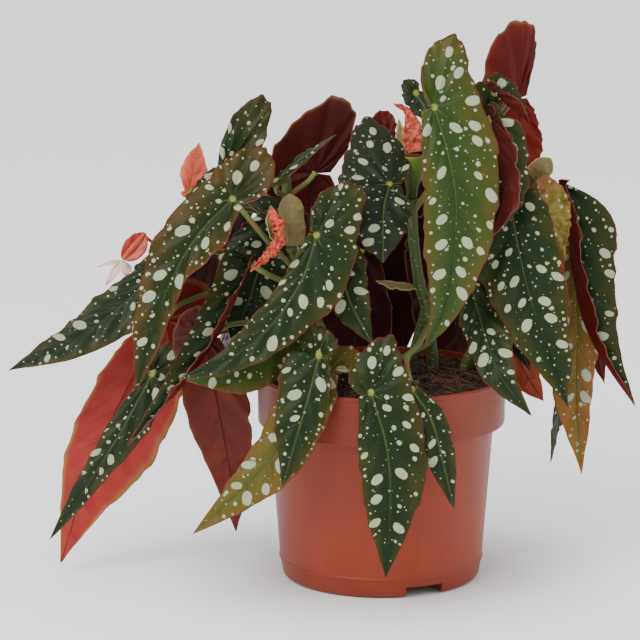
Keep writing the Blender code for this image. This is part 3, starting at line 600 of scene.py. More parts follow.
def crumb(shape, x, y, size):
    """A lumpy ball that lies on the soil."""
    ball = bmesh.ops.create_icosphere(shape, subdivisions=1, radius=size * MM)
    centre = Vector((x, y, soil_height(x, y) + size * 0.3)) * MM
    stretch = Vector((chance.uniform(0.7, 1.4), chance.uniform(0.7, 1.3), chance.uniform(0.5, 0.9)))
    for vert in ball["verts"]:
        wobble = 1 + 0.35 * noise.noise(vert.co / (size * MM) * 1.3 + centre * 900)
        vert.co = Vector(a * b for a, b in zip(vert.co, stretch)) * wobble + centre


def fibre(shape, x, y, length, thick):
    """A thin bent strand that lies on the soil."""
    heading = chance.uniform(0, math.tau)
    bend = chance.uniform(-1.2, 1.2)
    arch = chance.uniform(0.0, 1.6)
    rings = []
    for step in range(FIBRE_RINGS):
        share = step / (FIBRE_RINGS - 1)
        middle = Vector((x, y, soil_height(x, y) + 0.4 + arch * math.sin(math.pi * share)))
        side = Vector((-math.sin(heading), math.cos(heading), 0.0))
        radius = thick * (0.35 + 0.65 * math.sin(math.pi * (0.1 + 0.8 * share)))
        rings.append(lay_ring(shape, middle, side, UP, radius, 4))
        x += math.cos(heading) * length / FIBRE_RINGS
        y += math.sin(heading) * length / FIBRE_RINGS
        heading += bend / FIBRE_RINGS
        if math.hypot(x, y) > FIBRE_REACH:
            break
    if len(rings) > 1:
        weave(shape, rings)
        close_ends(shape, rings)
    else:
        bmesh.ops.delete(shape, geom=[vert for vert, _ in rings[0][:-1]], context="VERTS")


crumbs, grains, strands = bmesh.new(), bmesh.new(), bmesh.new()
for _ in range(CRUMBS):
    crumb(crumbs, *scatter_place(), 0.5 + 1.5 * chance.random() ** 2.2)
for _ in range(GRAINS):
    crumb(grains, *scatter_place(), chance.uniform(0.5, 1.0))
for _ in range(FIBRES):
    fibre(strands, *scatter_place(), chance.uniform(5, 17), chance.uniform(0.12, 0.26))
print("fibres have", len(strands.verts), "points")

# %% [markdown]
# Peat is nearly black and dull when it is moist, bits of bark are a warmer brown, coir is the
# colour of straw or rust, and perlite is a white glassy foam with pits.  Four small finishes
# differ in these colours and in how coarse their clouds are.

# %% Soil finish
def shell(name, shape, *finishes):
    """A smooth piece from a finished shape."""
    made = add_piece(name, mesh_of(name, shape), *finishes)
    made.data.shade_smooth()
    return made


peat = Finish("dark peat", Roughness=0.95)
lump = peat.cloud(peat.place(), 300.0, 5.0, 0.7)
peat.dress(peat.mix(lump.rise(0.3, 0.75), tint(10, 6, 4), tint(40, 26, 17)), None, lump, 0.9, 0.0012)

bark = Finish("peat crumbs", Roughness=0.9)
patch = bark.cloud(bark.place(), 160.0, 2.0)
speck = bark.cloud(bark.place(), 900.0, 3.0)
brown = bark.layers(tint(20, 12, 8), (patch.rise(0.35, 0.65), tint(66, 40, 24)),
                    (speck.rise(0.4, 0.8) * 0.5, tint(34, 21, 13)))
bark.dress(brown, None, speck, 0.6, 0.0005)

coir = Finish("coir fibres", Roughness=0.75)
shade = coir.cloud(coir.place(), 90.0, 2.0)
coir.dress(coir.mix(shade.rise(0.3, 0.7), tint(52, 30, 16), tint(126, 84, 50)))

perlite = Finish("perlite grains", Roughness=0.8)
pits = perlite.cloud(perlite.place(), 1500.0, 3.0)
perlite.dress(perlite.mix(pits.rise(0.4, 0.7), tint(190, 182, 166), tint(232, 228, 218)), None, pits, 0.5)

hand_over(shell("soil_bulk", bulk, peat.material), "soil", "potting_soil")
LOOSE = {"soil_crumbs": (crumbs, bark), "soil_fibres": (strands, coir), "soil_perlite": (grains, perlite)}
for name, (shape, finish) in LOOSE.items():
    hand_over(shell(name, shape, finish.material), "soil")
print("soil with crumbs, fibres and perlite")

# %% [markdown]
# ## Canes
#
# A cane begonia's stems look a little like bamboo: smooth green canes with a ring at each node
# where a leaf was, speckled with pale pores and flushed with red.  They need a smooth path
# through a few points, and so do the leaves' midribs and stalks.

# %% Smooth paths
def smooth_point(points, position):
    """A smooth curve through the points; position runs from 0 to the last index."""
    last = len(points) - 1
    start = min(int(position), last - 1)
    t = position - start
    p1, p2 = points[start], points[start + 1]
    p0 = points[start - 1] if start > 0 else 2 * p1 - p2
    p3 = points[start + 2] if start + 2 <= last else 2 * p2 - p1
    return 0.5 * (
        2 * p1 + (p2 - p0) * t + (2 * p0 - 5 * p1 + 4 * p2 - p3) * t**2 + (3 * p1 - p0 - 3 * p2 + p3) * t**3
    )


def smooth_path(points, steps):
    """Places at even steps along the smooth curve."""
    points = [Vector(p) for p in points]
    return [smooth_point(points, step / steps * (len(points) - 1)) for step in range(steps + 1)]


print("halfway along a bent path:", [round(c, 2) for c in smooth_path([(0, 0), (1, 1), (2, 0)], 4)[1]])

# %% [markdown]
# ### A tube along a path
#
# A tube is a row of rings that stand square to the path.  The sideways direction is carried from
# ring to ring and only made square again, so the tube doesn't twist where the path bends.

# %% Tubes
def new_shape(*maps):
    """An empty shape with UV maps of these names."""
    shape = bmesh.new()
    for name in maps:
        shape.loops.layers.uv.new(name)
    return shape


def tube(shape, points, radius_at, steps, sides):
    """Add a closed tube along the points (millimetres) to a shape.

    radius_at gives the radius for a share of the way.  The flat map holds the way round, and the
    length along it in centimetres."""
    centres = smooth_path(points, steps)
    side = (centres[1] - centres[0]).orthogonal().normalized()
    rings, length = [], 0.0
    for index, centre in enumerate(centres):
        before, after = centres[max(0, index - 1)], centres[min(steps, index + 1)]
        way = (after - before).normalized()
        side = (side - way * side.dot(way)).normalized()
        length += (centre - before).length
        radius = radius_at(index / steps)
        rings.append(lay_ring(shape, centre, side, way.cross(side), radius, sides, 1.0, length / 10))
    weave(shape, rings)
    close_ends(shape, rings)


print("tubes can follow a path")

# %% [markdown]
# Five canes rise from the soil and lean apart.  A cane swells at its nodes, and gets a touch
# thinner towards the top.

# %% Canes
CANES = {
    "cane_centre": [(26, 6, 66), (25, 6, 98), (22, 4, 126), (18, 2, 142), (15, 0, 163), (14, 0, 183)],
    "cane_left": [(-14, -4, 66), (-18, -6, 98), (-29, -11, 122), (-38, -19, 143), (-43, -25, 164)],
    "cane_right": [(36, 8, 66), (40, 8, 98), (54, 8, 128), (65, 8, 155), (69, 7, 182)],
    "cane_back_left": [(-22, 22, 66), (-25, 24, 98), (-35, 31, 130), (-44, 36, 160), (-46, 36, 188)],
    "cane_back_right": [(13, 30, 66), (16, 32, 98), (26, 38, 135), (34, 42, 170), (38, 42, 208)],
}
CANE_RADIUS = 3.0
NODES_ON_CANE = 5


def cane_radius(share):
    """Thicker at the nodes and a touch thinner towards the top."""
    place = share * NODES_ON_CANE
    near = abs(place - round(place))
    return CANE_RADIUS * (0.98 - 0.08 * share) * (0.93 + 0.12 * math.exp(-(near / 0.07) ** 2))


print(len(CANES), "canes,", round(2 * cane_radius(0.0), 1), "mm thick at the foot")

# %% [markdown]
# The skin is young green, flushed with a duller brown where it gets sun, and corky near the soil.
# The pores are small pale dots: the centres of a cell pattern, of which a lottery keeps half.

# %% Cane finish
green_cane = Finish("green cane skin")
around, along = green_cane.parts(green_cane.map("flat"))
blush = green_cane.cloud(green_cane.point(around, along * 0.25), 3.0)
pores = green_cane.cells(green_cane.point(around * 1.9, along * 3.4), 1.6)
lottery, _, _ = green_cane.cell_facts(pores)
pore = pores.rise(0.16, 0.1) * lottery.rise(0.45, 0.5)
skin = green_cane.layers(
    tint(57, 80, 20),
    (blush.rise(0.42, 0.72), tint(84, 80, 30)),
    (along.rise(4.5, 2.0) * 0.6, tint(84, 70, 44)),
    (pore * 0.45, tint(176, 180, 130)))
green_cane.dress(skin, 0.36 + blush * 0.2, pore + blush)

for name, points in CANES.items():
    stem = new_shape("flat")
    tube(stem, points, cane_radius, steps=60, sides=18)
    hand_over(shell("stem_" + name, stem, green_cane.material), "cane", name)
print("canes done")

# %% [markdown]
# ## One leaf
#
# An angel-wing leaf is lopsided.  From the point where the stalk meets it, the midrib runs down
# to a long tip, a wide half lies on one side, a narrow half on the other, and a big lobe rises
# behind the stalk.  A slit divides the lobe from the narrow half.
#
# The blade is built as one grid.  Its columns go round the leaf's outline, from one side of the
# slit round the lobe, down the wide margin to the tip, and back up the narrow margin.  Its rows
# go from the midrib out to the margin.  The columns follow the side veins, so quilting and
# ripples can be added along them, and the maps remember where each point lies on the flat leaf.

# %% The leaf's measures
@dataclass
class Leaf:
    """One leaf.  Points and widths in millimetres, angles in degrees.

    midrib: from the junction with the stalk to the tip.
    face: which way the upper side looks at the junction, and face_tip at the tip.
    side: +1 puts the wide half to the right as seen from the face with the tip down.
    tilt: how far the lobe behind the stalk rises from the blade, and lean: how far its top
    shifts towards the wide half.
    neck: width of the lobe beside the slit, as a share of the narrow half, and slope: how
    much slimmer the lobe is on its wide shoulder.
    waist: how much slimmer the wide half is along its middle.
    narrow_edge: for an uneven narrow half, pairs of (share of the midrib, half-width).
    fold, curl: slope beside the midrib and extra turn out to the margin, wide and narrow half.
    stalk: the cane it grows from, the height there, and points on the way.
    """
    midrib: tuple
    face: tuple
    wide: float
    narrow: float
    lobe: float
    side: int
    stalk: tuple = None
    face_tip: tuple = None
    tilt: float = 0.0
    lean: float = 0.0
    neck: float = 1.0
    slope: float = 0.0
    waist: float = 0.0
    narrow_edge: tuple = ()
    fold: tuple = (8, 8)
    curl: tuple = (-20, -20)
    tone: str = "green"


print("a leaf is told by", len(Leaf.__dataclass_fields__), "measures")

# %% [markdown]
# ### The leaves of the front
#
# The big leaves that give the plant its outline come first.  Light comes from above and in front,
# so nearly all of them face that way and hang with their tips down.

# %% The leaves of the front
LEAVES = {
    "leaf_tall_front": Leaf(
        [(23, -44, 233), (30, -50, 209), (33, -53, 184), (29, -52, 144), (19, -48, 120)], (0, -1, 0.2),
        22, 15, 30, 1, ("cane_centre", 176, (30, -33, 222), (28, -12, 200)), lean=9, neck=0.4,
        waist=0.04, tone="olive"),
    "leaf_over_rim_front": Leaf(
        [(-6, -64, 103), (1, -68, 79), (3, -71, 54), (1, -74, 17)], (0, -1, 0.15),
        19, 14, 23, 1, ("cane_centre", 112, (-4, -54, 109), (6, -32, 111)), tilt=-12, lean=9),
    "leaf_big_left": Leaf(
        [(-70, -42, 190), (-87, -50, 173), (-100, -55, 150), (-108, -58, 127), (-115, -60, 100)],
        (-0.1, -1, 0.3), 16, 15, 28, -1, ("cane_left", 153, (-64, -39, 182), (-52, -31, 166)),
        lean=2, narrow_edge=((0, 7), (0.2, 15), (0.3, 13), (0.42, 7), (0.7, 6), (1, 0)),
        curl=(-20, 40), tone="gold"),
    "leaf_reaching_left": Leaf(
        [(-103, -6, 158), (-119, -12, 138), (-145, -20, 119), (-177, -26, 105)], (-0.1, -0.9, 0.45),
        14, 11, 20, 1, ("cane_back_left", 142, (-94, 12, 157), (-72, 22, 152)), tone="olive"),
    "leaf_diagonal": Leaf(
        [(-31, -48, 174), (-38, -54, 154), (-53, -60, 133), (-73, -64, 118), (-94, -66, 110)],
        (0.1, -1, 0.35), 20, 9, 28, 1, ("cane_left", 157, (-35, -40, 170)), lean=4, waist=0.3),
    "leaf_upper_left": Leaf(
        [(-75, 10, 195), (-82, 5, 174), (-88, 2, 152)], (-0.1, -1, 0.1),
        14, 13, 40, 1, ("cane_back_left", 160, (-72, 18, 186), (-58, 28, 172)), lean=5, neck=0.75),
    "leaf_edge_on_left": Leaf(
        [(-50, -8, 193), (-38, -2, 203), (-22, 6, 213)], (-0.2, -0.15, 1),
        6, 4, 4, -1, ("cane_back_left", 184, (-50, 4, 186), (-47, 20, 182))),
    "leaf_red_back_left": Leaf(
        [(-32, 46, 188), (-36, 50, 160), (-42, 52, 132)], (0.1, 1, 0.3),
        23, 18, 39, 1, ("cane_back_left", 178, (-36, 42, 184)), lean=-12, waist=-0.35, tone="red"),
    "leaf_middle": Leaf(
        [(3, -18, 193), (0, -31, 182), (0, -34, 158)], (0, -0.95, 0.35),
        24, 13, 37, -1, ("cane_centre", 168, (7, -10, 186)), lean=11, face_tip=(0, -1, 0.1), tone="dark"),
    "leaf_big_right": Leaf(
        [(59, -24, 190), (63, -32, 166), (69, -38, 141), (78, -42, 116), (87, -44, 91)], (-0.1, -1, 0.3),
        23, 19, 8, -1, ("cane_right", 172, (62, -14, 184)), waist=0.1,
        narrow_edge=((0, 12), (0.1, 17), (0.3, 19), (0.5, 17), (0.75, 10), (1, 0))),
    "leaf_folded_right": Leaf(
        [(50, -30, 226), (54, -34, 206), (55, -38, 188), (48, -38, 168)], (0.3, -1, 0.2),
        15, 10, 7, 1, ("cane_back_right", 196, (43, -18, 214), (34, 6, 205)), neck=0.4, slope=0.6,
        fold=(10, 140)),
    "leaf_folded_top_right": Leaf(
        [(52, -16, 236), (57, -15, 231), (63, -14, 226), (69, -13, 221)], (0.8, 0, 0.6),
        10, 6, 7, 1, ("cane_back_right", 196, (61, -6, 232), (51, 18, 214)), fold=(58, 62),
        curl=(10, 15)),
    "leaf_behind_top_right": Leaf(
        [(51, -4, 222), (52, -8, 200), (53, -8, 178)], (0, -1, 0.2),
        12, 8, 18, -1, ("cane_back_right", 186, (48, 8, 213), (43, 24, 198))),
    "leaf_top_red": Leaf(
        [(66, 32, 226.5), (68, 35, 206), (73, 32, 180)], (0.1, 1, 0.1),
        19, 10, 40, 1, ("cane_back_right", 200, (59, 34, 221), (47, 39, 209)), lean=-9, tone="red"),
    "leaf_far_right": Leaf(
        [(85, 8, 188), (89, 4, 167), (91, 0, 148), (97, -5, 123), (106, -10, 106), (121, -14, 85)],
        (-0.1, -1, 0.1), 22, 10, 3, 1, ("cane_right", 174, (80, 9, 186)), slope=0.85, fold=(5, 140)),
    "leaf_amber_right": Leaf(
        [(92, 14, 158), (94, 8, 123), (94, 4, 84), (97, 2, 47)], (0, -1, 0.1),
        14, 10, 10, -1, ("cane_right", 162, (80, 13, 162)), waist=-0.25, tone="brown"),
    "leaf_over_rim_right": Leaf(
        [(40, -20, 152), (45, -30, 133), (54, -46, 108), (69, -52, 89)], (-0.2, -1, 0.3),
        14, 10, 8, 1, ("cane_centre", 132, (36, -12, 147), (29, -4, 138))),
    "leaf_dry_curled": Leaf(
        [(60, -8, 120), (67, -12, 103), (77, -16, 88)], (-0.3, 1, 0.2),
        11, 10, 6, -1, ("cane_right", 124, (58, -2, 123)), curl=(70, 60), tone="dry"),
    "leaf_shaded_right": Leaf(
        [(60, -8, 154), (61, -16, 130), (70, -24, 104)], (0, -1, 0.2),
        11, 9, 12, 1, ("cane_right", 148, (62, -2, 153)), tone="dark"),
    "leaf_over_rim_left": Leaf(
        [(-30, -58, 119), (-35, -65, 101), (-40, -68, 84), (-47, -72, 60)], (-0.1, -1, 0.2),
        15, 10, 14, -1, ("cane_left", 122, (-31, -48, 129), (-30, -28, 128))),
    "leaf_yellow_left": Leaf(
        [(-26, -47, 110), (-36, -62, 96), (-56, -64, 67), (-89, -66, 36)], (0, -1, 0.4),
        13, 14, 19, -1, ("cane_left", 104, (-23, -38, 111), (-20, -22, 108)), lean=-11, tone="amber"),
    "leaf_narrow_front": Leaf(
        [(13, -61.6, 104), (22, -64, 90), (28, -63, 68), (33, -64, 47)], (0, -1, 0.1),
        11, 7, 4, -1, ("cane_centre", 121, (11, -44, 114), (17, -22, 117))),
    "leaf_under_diagonal": Leaf(
        [(-46, -40, 128), (-67, -51, 112), (-92, -56, 107)], (0, -1, 0.4),
        16, 10, 12, 1, ("cane_left", 113, (-44, -34, 122), (-35, -23, 114)), tone="olive"),
}
print(len(LEAVES), "leaves in front")

# %% [markdown]
# Leaves on long stalks hang at the left.  Two of them have turned over and show their red
# underside.  In their shade are a few small and narrow ones.

# %% Leaves that hang at the left
LEAVES |= {
    "leaf_hanging_red_middle": Leaf(
        [(-83, -26, 120), (-77, -34, 88), (-72, -38, 60), (-69, -40, 30)], (0.2, 1, 0.2),
        17, 15, 16, 1, ("cane_left", 126, (-72, -25, 127), (-50, -17, 127)), tone="red"),
    "leaf_hanging_red_left": Leaf(
        [(-104, 8, 123), (-123, 4, 88), (-141, 0, 49), (-155, -6, 5)], (0.1, 1, 0.3),
        25, 16, 24, -1, ("cane_back_left", 126, (-94, 6, 132), (-70, 14, 136)), waist=-0.3, tone="red"),
    "leaf_olive_left": Leaf(
        [(-109, -24, 103), (-124, -30, 76), (-140, -34, 51), (-158, -36, 25)], (0, -1, 0.2),
        12, 7, 17, 1, ("cane_back_left", 118, (-99, -16, 111), (-80, -6, 119)), waist=0.3, tone="olive"),
    "leaf_long_left": Leaf(
        [(-62, -26, 156), (-75, -36, 129), (-89, -43, 108), (-104, -47, 91), (-120, -50, 74)],
        (0.1, -1, 0.2), 13, 7, 6, -1, ("cane_left", 143, (-52, -24, 150)), fold=(8, 100), curl=(-20, 30)),
    "leaf_shaded_left": Leaf(
        [(-50, -2, 174), (-58, -10, 153), (-64, -16, 135), (-72, -20, 119)], (0, -1, 0.2),
        16, 19, 10, 1, ("cane_back_left", 150, (-46, 10, 167)), tone="dark"),
    "leaf_small_centre": Leaf(
        [(-20, -36, 161), (-16, -42, 143), (-5, -48, 122)], (0, -1, 0.2),
        11, 9, 8, 1, ("cane_left", 148, (-28, -29, 158))),
}
print(len(LEAVES), "leaves so far")

# %% [markdown]
# Tips and slivers of leaves show in the gaps between the others and make the plant look deep,
# and the last eight leaves fill its back and its left side.

# %% Small leaves, tips and the back
LEAVES |= {
    "leaf_behind_tall": Leaf(
        [(15.5, -10, 235), (20.5, -14, 227), (24, -16, 221)], (-0.3, -1, 0.1),
        7, 5, 8, -1, ("cane_back_right", 200, (20, 2, 230), (30, 24, 212)), tone="dark"),
    "leaf_red_tip_back": Leaf(
        [(1, 16, 209), (-1, 14, 190), (-5, 12, 170)], (0.1, 1, 0.2),
        9, 8, 14, 1, ("cane_back_right", 180, (8, 18, 204), (20, 30, 194)), tone="red"),
    "leaf_purple_tip_right": Leaf(
        [(94, 26, 136), (102, 24, 112), (109, 22, 88)], (0, 1, 0.2),
        8, 7, 8, 1, ("cane_right", 142, (80, 20, 140)), tone="red"),
    "leaf_sliver_right": Leaf(
        [(93, 22, 104), (87, 18, 76), (83, 16, 50)], (1, -0.6, 0.2),
        7, 6, 6, 1, ("cane_right", 120, (78, 18, 114)), tone="dark"),
    "leaf_back_high_left": Leaf(
        [(-66, 64, 180), (-80, 78, 152), (-92, 88, 104)], (-0.5, 1, 0.3),
        22, 15, 24, 1, ("cane_back_left", 170, (-61, 50, 180))),
    "leaf_back_middle": Leaf(
        [(8, 60, 186), (10, 76, 150), (12, 82, 88)], (0, 1, 0.35),
        27, 21, 26, -1, ("cane_back_right", 172, (14, 56, 188), (24, 49, 182))),
    "leaf_back_right": Leaf(
        [(46, 68, 204), (56, 84, 166), (62, 90, 110)], (0.2, 1, 0.3),
        22, 14, 26, 1, ("cane_back_right", 190, (42, 58, 202)), tone="olive"),
    "leaf_back_low_right": Leaf(
        [(74, 46, 150), (92, 56, 112), (104, 60, 62)], (1, 0.2, 0.3),
        22, 16, 24, -1, ("cane_right", 134, (66, 30, 150))),
    "leaf_back_low_left": Leaf(
        [(-64, 56, 132), (-78, 66, 96), (-84, 68, 52)], (-1, 0.3, 0.3),
        20, 15, 20, -1, ("cane_back_left", 134, (-54, 44, 138))),
    "leaf_back_low_middle": Leaf(
        [(-8, 62, 146), (-12, 73, 100), (-16, 78, 36)], (0, 1, 0.2),
        22, 18, 20, 1, ("cane_back_left", 128, (-14, 60, 148), (-28, 46, 140))),
    "leaf_back_low_centre": Leaf(
        [(34, 56, 148), (39, 68, 102), (44, 76, 40)], (0.1, 1, 0.2),
        22, 19, 22, 1, ("cane_back_right", 136, (32, 48, 148))),
    "leaf_side_left": Leaf(
        [(-74, 31, 118), (-81, 34, 88), (-82, 34, 50)], (-1, 0.1, 0.2),
        19, 15, 18, 1, ("cane_back_left", 112, (-66, 29, 124), (-44, 28, 120))),
}
print(len(LEAVES), "leaves")

# %% [markdown]
# ### The outline
#
# The lobe's edge is a smooth curve through eight points.  The two long margins are power curves,
# which keep the wide half full near the stalk and draw it out to a slim tip.

# %% Outline of the flat leaf
LOBE_OUTLINE = [(-0.04, -0.42), (-0.38, -0.68), (-0.76, -0.52), (-1.0, 0.16), (-0.86, 0.62), (-0.45, 0.88),
                (-0.05, 0.97), (0.25, 1.0)]
LOBE_RAYS = 7
BLADE_STATIONS = 5
NARROW_RAYS = 2
VEIN_SWEEP = 0.30
SWEEP_START = VEIN_SWEEP / (1 + VEIN_SWEEP)
NARROW_WIDEST = 0.4
VEIN_SPACING = 17.0
LOBE_VEINS = 5
NARROW_SHIFT = 32.0


def wide_half(u):
    """Half-width of the wide half, as a share of its widest, at a share u of the midrib."""
    x = max(0.0, (u - SWEEP_START) / (1 - SWEEP_START))
    return (1 - min(1.0, x) ** 1.8) ** 1.15


def narrow_half(u, leaf):
    """Half-width of the narrow half in millimetres, at a share u of the midrib."""
    for (low, first), (high, second) in zip(leaf.narrow_edge, leaf.narrow_edge[1:]):
        if u <= high:
            share = (u - low) / (high - low)
            return first + (second - first) * share * share * (3 - 2 * share)
    if u < NARROW_WIDEST:
        return leaf.narrow * (0.42 + 0.58 * math.sin(math.pi / 2 * u / NARROW_WIDEST))
    return leaf.narrow * (1 - min(1.0, (u - NARROW_WIDEST) / (1 - NARROW_WIDEST)) ** 1.9) ** 1.15


print("wide half at a quarter, half and three quarters:", [round(wide_half(u), 2) for u in (0.25, 0.5, 0.75)])

# %% [markdown]
# ### Round the outline by columns
#
# A column is a ray out from the midrib.  The first ones fan out from the stalk round the lobe; the
# others leave the midrib one after another and sweep forward, as the side veins do.

# %% Columns of the flat leaf
def lobe_point(share, leaf, length):
    """The lobe's edge at a share of the way round it, as (along, out)."""
    rays = [Vector(p) for p in LOBE_OUTLINE]
    back, out = smooth_point(rays, share * (len(rays) - 1))
    forward = back / LOBE_OUTLINE[-1][0]
    along = back * leaf.lobe if back < 0 else forward * SWEEP_START * length
    slim = 1 - leaf.slope * (1 - max(0.0, forward)) ** 2.5
    width = leaf.wide * slim if out > 0 else leaf.narrow * leaf.neck
    return along, out * width + leaf.lean * min(0.0, back) ** 2


def outline_point(column, leaf, length):
    """Spine place, margin place along, margin place out, and the vein number of a column."""
    if column <= LOBE_RAYS:
        share = column / LOBE_RAYS
        return 0.0, *lobe_point(share, leaf, length), (share - 1) * LOBE_VEINS
    veins = max(3, round(length / VEIN_SPACING))
    column -= LOBE_RAYS
    if column > 2 * BLADE_STATIONS:
        share = (column - 2 * BLADE_STATIONS) / NARROW_RAYS
        u = SWEEP_START * (1 - share)
        return 0.0, u * length, -narrow_half(u, leaf), NARROW_SHIFT - share
    spine = 1 - abs(column / BLADE_STATIONS - 1)
    u = (spine + VEIN_SWEEP) / (1 + VEIN_SWEEP)
    if column <= BLADE_STATIONS:
        slim = 1 - leaf.waist * math.sin(math.pi * spine)
        return spine * length, u * length, wide_half(u) * leaf.wide * slim, spine * veins
    return spine * length, u * length, -narrow_half(u, leaf), NARROW_SHIFT + spine * veins


print("columns go round the leaf from 0 to", LOBE_RAYS + 2 * BLADE_STATIONS + NARROW_RAYS)

# %% [markdown]
# ### Bending it into place
#
# The flat leaf is laid along its midrib's curve.  At each place on the midrib there is a small
# frame: forward, up out of the leaf, and sideways.  Each half leaves the midrib at a fold angle
# and turns steadily as it goes out, so a point's sideways and upward reach are those of an arc.

# %% Laying the flat leaf along its midrib
STRAIGHT = 1e-4


def arc(slope, turn, distance):
    """Reach sideways and upward of an arc that starts at a slope and turns steadily."""
    if abs(turn) < STRAIGHT:
        return distance * math.cos(slope), distance * math.sin(slope)
    reach = distance / turn
    return (reach * (math.sin(slope + turn) - math.sin(slope)),
            reach * (math.cos(slope) - math.cos(slope + turn)))


class Blade:
    """A leaf's midrib in space, and the flat leaf laid along it."""
    STEPS = 60
    NEAR = 3

    def __init__(self, leaf):
        self.leaf = leaf
        self.samples = smooth_path(leaf.midrib, self.STEPS)
        self.lengths = [0.0]
        for a, b in zip(self.samples, self.samples[1:]):
            self.lengths.append(self.lengths[-1] + (b - a).length)
        self.length = self.lengths[-1]

    def place(self, along):
        """Point and direction of the midrib at a length along it."""
        index = 0
        while index < self.STEPS - 1 and self.lengths[index + 1] < along:
            index += 1
        a, b = self.samples[index], self.samples[index + 1]
        share = (along - self.lengths[index]) / (self.lengths[index + 1] - self.lengths[index])
        before = self.samples[max(0, index - self.NEAR)]
        after = self.samples[min(self.STEPS, index + 1 + self.NEAR)]
        return a + (b - a) * share, (after - before).normalized()

    def frame(self, along):
        """Point, forward, up out of the leaf, and sideways to the wide half."""
        leaf = self.leaf
        point, tangent = self.place(max(0.0, along))
        face = Vector(leaf.face)
        if leaf.face_tip and along > 0:
            face = face.lerp(Vector(leaf.face_tip), along / self.length)
        normal = (face - tangent * face.dot(tangent)).normalized()
        if along < 0:
            turn = math.radians(leaf.tilt) * along / -leaf.lobe
            back, rise = arc(0.0, turn, -along)
            point = point - tangent * back + normal * rise
            tangent, normal = (tangent * math.cos(turn) - normal * math.sin(turn),
                               normal * math.cos(turn) + tangent * math.sin(turn))
        return point, tangent, normal, normal.cross(tangent) * leaf.side

    def surface(self, along, out, lift=0.0):
        """The place of a flat leaf's point, lifted out of the surface by some millimetres."""
        leaf = self.leaf
        half = 0 if out > 0 else 1
        width = (leaf.wide, leaf.narrow)[half]
        slope = math.radians(leaf.fold[half])
        turn = math.radians(leaf.curl[half]) * abs(out) / width
        sideways, upward = arc(slope, turn, abs(out))
        point, _, normal, across = self.frame(along)
        sign = 1 if out > 0 else -1
        tilt = slope + turn
        up = normal * math.cos(tilt) - across * (sign * math.sin(tilt))
        return point + across * (sign * sideways) + normal * upward + up * lift


print("a midrib is sampled at", Blade.STEPS + 1, "places")

# %% [markdown]
# ### Skin, quilting and ripples
#
# Between the side veins the blade is pillowed, and its margin has grown a little too long for
# the leaf, so it ripples.  Both are lifts out of the surface.  Ripples also push the outline in
# and out by a hair, which gives the margin its uneven, torn-paper look.

# %% One blade as a grid
COLUMNS = 150
ROWS = 15
QUILT = 0.7
RIPPLE = 1.25
SCALLOP = 0.03
WAVES = ((17, 0.5), (29, 0.35), (7, 0.7), (47, 0.2))  # how many round the leaf, and how high
CALM_COLUMNS = 8
FULL_RIPPLE_WIDTH = 12.0
SHEET_SHIFT = 40.0
VEIN_SHIFT = 64.0
BLADE_THICKNESS = 0.5


def face_towards(shape, way):
    """Weld a sheet's double points and turn its upper side to that way."""
    bmesh.ops.remove_doubles(shape, verts=shape.verts, dist=WELD)
    shape.normal_update()
    if sum(face.normal.dot(way) for face in shape.faces) < 0:
        bmesh.ops.reverse_faces(shape, faces=shape.faces)


def blade_shape(leaf, number, ripple=1.0):
    """A sheet with three maps: flat (centimetres on the flat leaf), vein (vein number, share of the
    way out) and way (the side vein's whole run, from the midrib to the margin, in centimetres)."""
    blade = Blade(leaf)
    luck = random.Random(number)
    starts = [luck.uniform(0, math.tau) for _ in WAVES]
    columns = LOBE_RAYS + 2 * BLADE_STATIONS + NARROW_RAYS
    shape = new_shape("flat", "vein", "way")
    grid = []
    for step in range(COLUMNS + 1):
        spine, along, out, vein = outline_point(columns * step / COLUMNS, leaf, blade.length)
        around = step / COLUMNS * math.tau
        wave = sum(high * math.sin(around * count + start) for (count, high), start in zip(WAVES, starts))
        calm = min(1.0, step / CALM_COLUMNS, (COLUMNS - step) / CALM_COLUMNS)
        room = min(1.0, math.hypot(along - spine, out) / FULL_RIPPLE_WIDTH) * calm
        scallop = 1 + SCALLOP * wave * calm
        line = []
        for row in range(ROWS + 1):
            share = (row / ROWS) ** 0.9
            forward = spine + (along - spine) * share * scallop
            aside = out * share * scallop
            pillow = math.cos(math.tau * (vein + 0.5)) * math.sin(math.pi * min(1.0, share * 1.15)) ** 2
            lift = (QUILT * pillow + RIPPLE * ripple * wave * share**4) * room
            vert = shape.verts.new(blade.surface(forward, aside, lift) * MM)
            flat = (aside / 10, forward / 10 + SHEET_SHIFT * number)
            line.append((vert, flat, (vein + VEIN_SHIFT * number, share), (out / 10, (along - spine) / 10)))
        grid.append(line)
    weave(shape, list(zip(*grid)))
    face_towards(shape, blade.frame(0.3 * blade.length)[2])
    return shape, blade


print("a blade has", COLUMNS * ROWS, "quads")

# %% [markdown]
# ## The upper side
#
# Silver spots are where the leaf's skin stands off the green flesh beneath.  They are ovals drawn
# out along the side veins, never cross the midrib, and get small and crowded towards the margin.
#
# A Voronoi pattern on the flat leaf scatters the centres.  A plain Voronoi distance would give
# round discs cut off by the margin, so the distance is measured again here: along the side vein
# and across it.  The way map also tells how far each centre lies from the margin.

